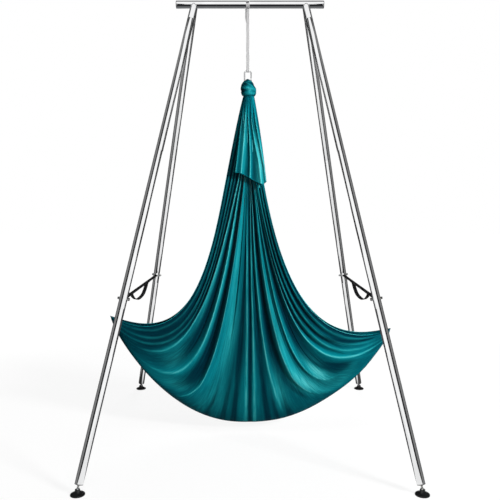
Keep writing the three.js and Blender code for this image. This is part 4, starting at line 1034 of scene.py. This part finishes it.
def flag(name, corners, tone_of, reach, both_sides=True):
    """A dark flag that only polished metal sees, and only from nearer than its reach."""
    p = new_paint(name)
    gap, = p.light_path("Ray Length")
    x, y, z = p.parts(p.place("Object"))
    dark = p.node("ShaderNodeEmission", {"Color": tone_of(p, y, z), "Strength": 1.0})
    clear = p.node("ShaderNodeBsdfTransparent")
    unseen = (gap + z * 0.28).join("GREATER_THAN", reach)
    if not both_sides:
        unseen = unseen.join("MAXIMUM", p.node("ShaderNodeNewGeometry", output="Backfacing"))
    mixed = p.node("ShaderNodeMixShader", {0: unseen, 1: dark, 2: clear})
    shade = plane(name, corners, p.finish("ShaderNodeOutputMaterial", mixed))
    shade.visible_camera = shade.visible_diffuse = False
    shade.visible_shadow = shade.visible_transmission = False


def beside_legs(p, y, z):
    """Nearly black well in front of each leg, a pale band beside it, and mid grey behind it."""
    band, behind = [], []
    for sign in (1, -1):
        past = y + sign * (FOOT_Y + 0.005 - z * 0.328)
        band.append(past.between(-0.22, -0.18) - past.between(0.02, 0.05))
        behind.append(past.between(0.02, 0.05) - past.between(0.5, 0.6, 0.0, float(sign > 0)))
    grey = band[0].join("MAXIMUM", band[1]) * 0.19 + behind[0].join("MAXIMUM", behind[1]) * 0.04
    return p.blend(grey, (0.016, 0.016, 0.017), WHITE)


def behind_legs(p, y, z):
    return 0.06, 0.06, 0.063


def under_bar(p, y, z):
    return p.blend(y.between(-0.045, -0.02), (0.02, 0.021, 0.023), (0.17, 0.175, 0.18))


def flags():
    for side, sign in (("left", -1), ("right", 1)):
        low, high = sign * (FOOT_X + 0.236), sign * (TOP_X + 0.156)
        corners = [(low, -3.2, -0.3), (low, 2.4, -0.3), (high, 2.4, 2.98), (high, -3.2, 2.98)]
        flag(f"flag_{side}", corners, beside_legs, 1.9)
        for row, way, top in (("front", -1, 1.19), ("rear", 1, 2.0)):
            corners = [(sign * (FOOT_X - (FOOT_X - TOP_X) * z / BAR_Z + aside),
                        way * FOOT_Y * (1 - z / BAR_Z) + 0.12, z)
                       for z, aside in ((0.0, 0.06), (0.0, -0.8), (top, -0.8), (top, 0.06))]
            flag(f"flag_behind_{row}_{side}", corners, behind_legs, 0.9)
    flag("flag_under_bar", level(0.5, 0.4, 2.862), under_bar, 1.2, both_sides=False)


def surroundings():
    """White to the camera. Polished metal sees it bright in front of a slanting line and straight behind, and
    the rest dim; everything else gets a faint even light."""
    world = bpy.data.worlds.new("studio")
    bpy.context.scene.world = world
    p = Paint(world)
    camera_ray, through, glossy = p.light_path(*RAYS)
    _, dy, dz = p.parts(p.node("ShaderNodeTexCoord", output="Generated"))
    straight_back = dy.between(0.86, 0.9) * dz.between(0.16, 0.24, 1.0, 0.0)
    front = (0.05 - dy - dz.join("ABSOLUTE") * 0.26).between(-0.03, 0.03) + straight_back
    seen = camera_ray.join("MAXIMUM", through)
    ambient = 0.08
    strength = seen + (1 - seen) * ((1 - glossy) * ambient + glossy * (front * 0.96 + 0.04))
    glow = p.node("ShaderNodeBackground", {"Color": WHITE, "Strength": strength})
    p.finish("ShaderNodeOutputWorld", glow)


# Each lamp's place, the height that it is aimed at, its size and its power
LAMPS = {
    "key": ((7.6, -6.0, 5.2), 1.1, 2.0, 1400.0), "top": ((1.2, -2.4, 10.2), 1.0, 4.0, 260.0),
    "left_fill": ((-7.0, -4.8, 3.4), 1.0, 4.0, 20.0), "rear_fill": ((1.0, 8.0, 4.8), 1.2, 4.0, 420.0),
}


def lamps():
    for name, (place, aim, size, power) in LAMPS.items():
        lamp = bpy.data.lights.new(name, "AREA")
        lamp.size, lamp.energy = size, power
        shown = show(name, lamp)
        shown.visible_glossy = False
        shown.location = place
        shown.rotation_euler = (Vector((0, 0, aim)) - Vector(place)).to_track_quat("-Z", "Y").to_euler()


def camera():
    """Eye height 1.571 m, 4.09 m in front of the crossbar, pitched down 4.15 degrees, as in the photo."""
    lens = bpy.data.cameras.new("camera")
    lens.sensor_width, lens.lens = 36.0, 36.0 * 593.4 / 500.0
    shown = show("camera", lens)
    shown.location = (0.0, -4.09025, 1.57105)
    shown.rotation_euler = (radians(90 - 4.1501), 0.0, 0.0)
    bpy.context.scene.camera = shown


floor()
flags()
surroundings()
lamps()
camera()
bpy.context.scene.view_settings.view_transform = "Standard"
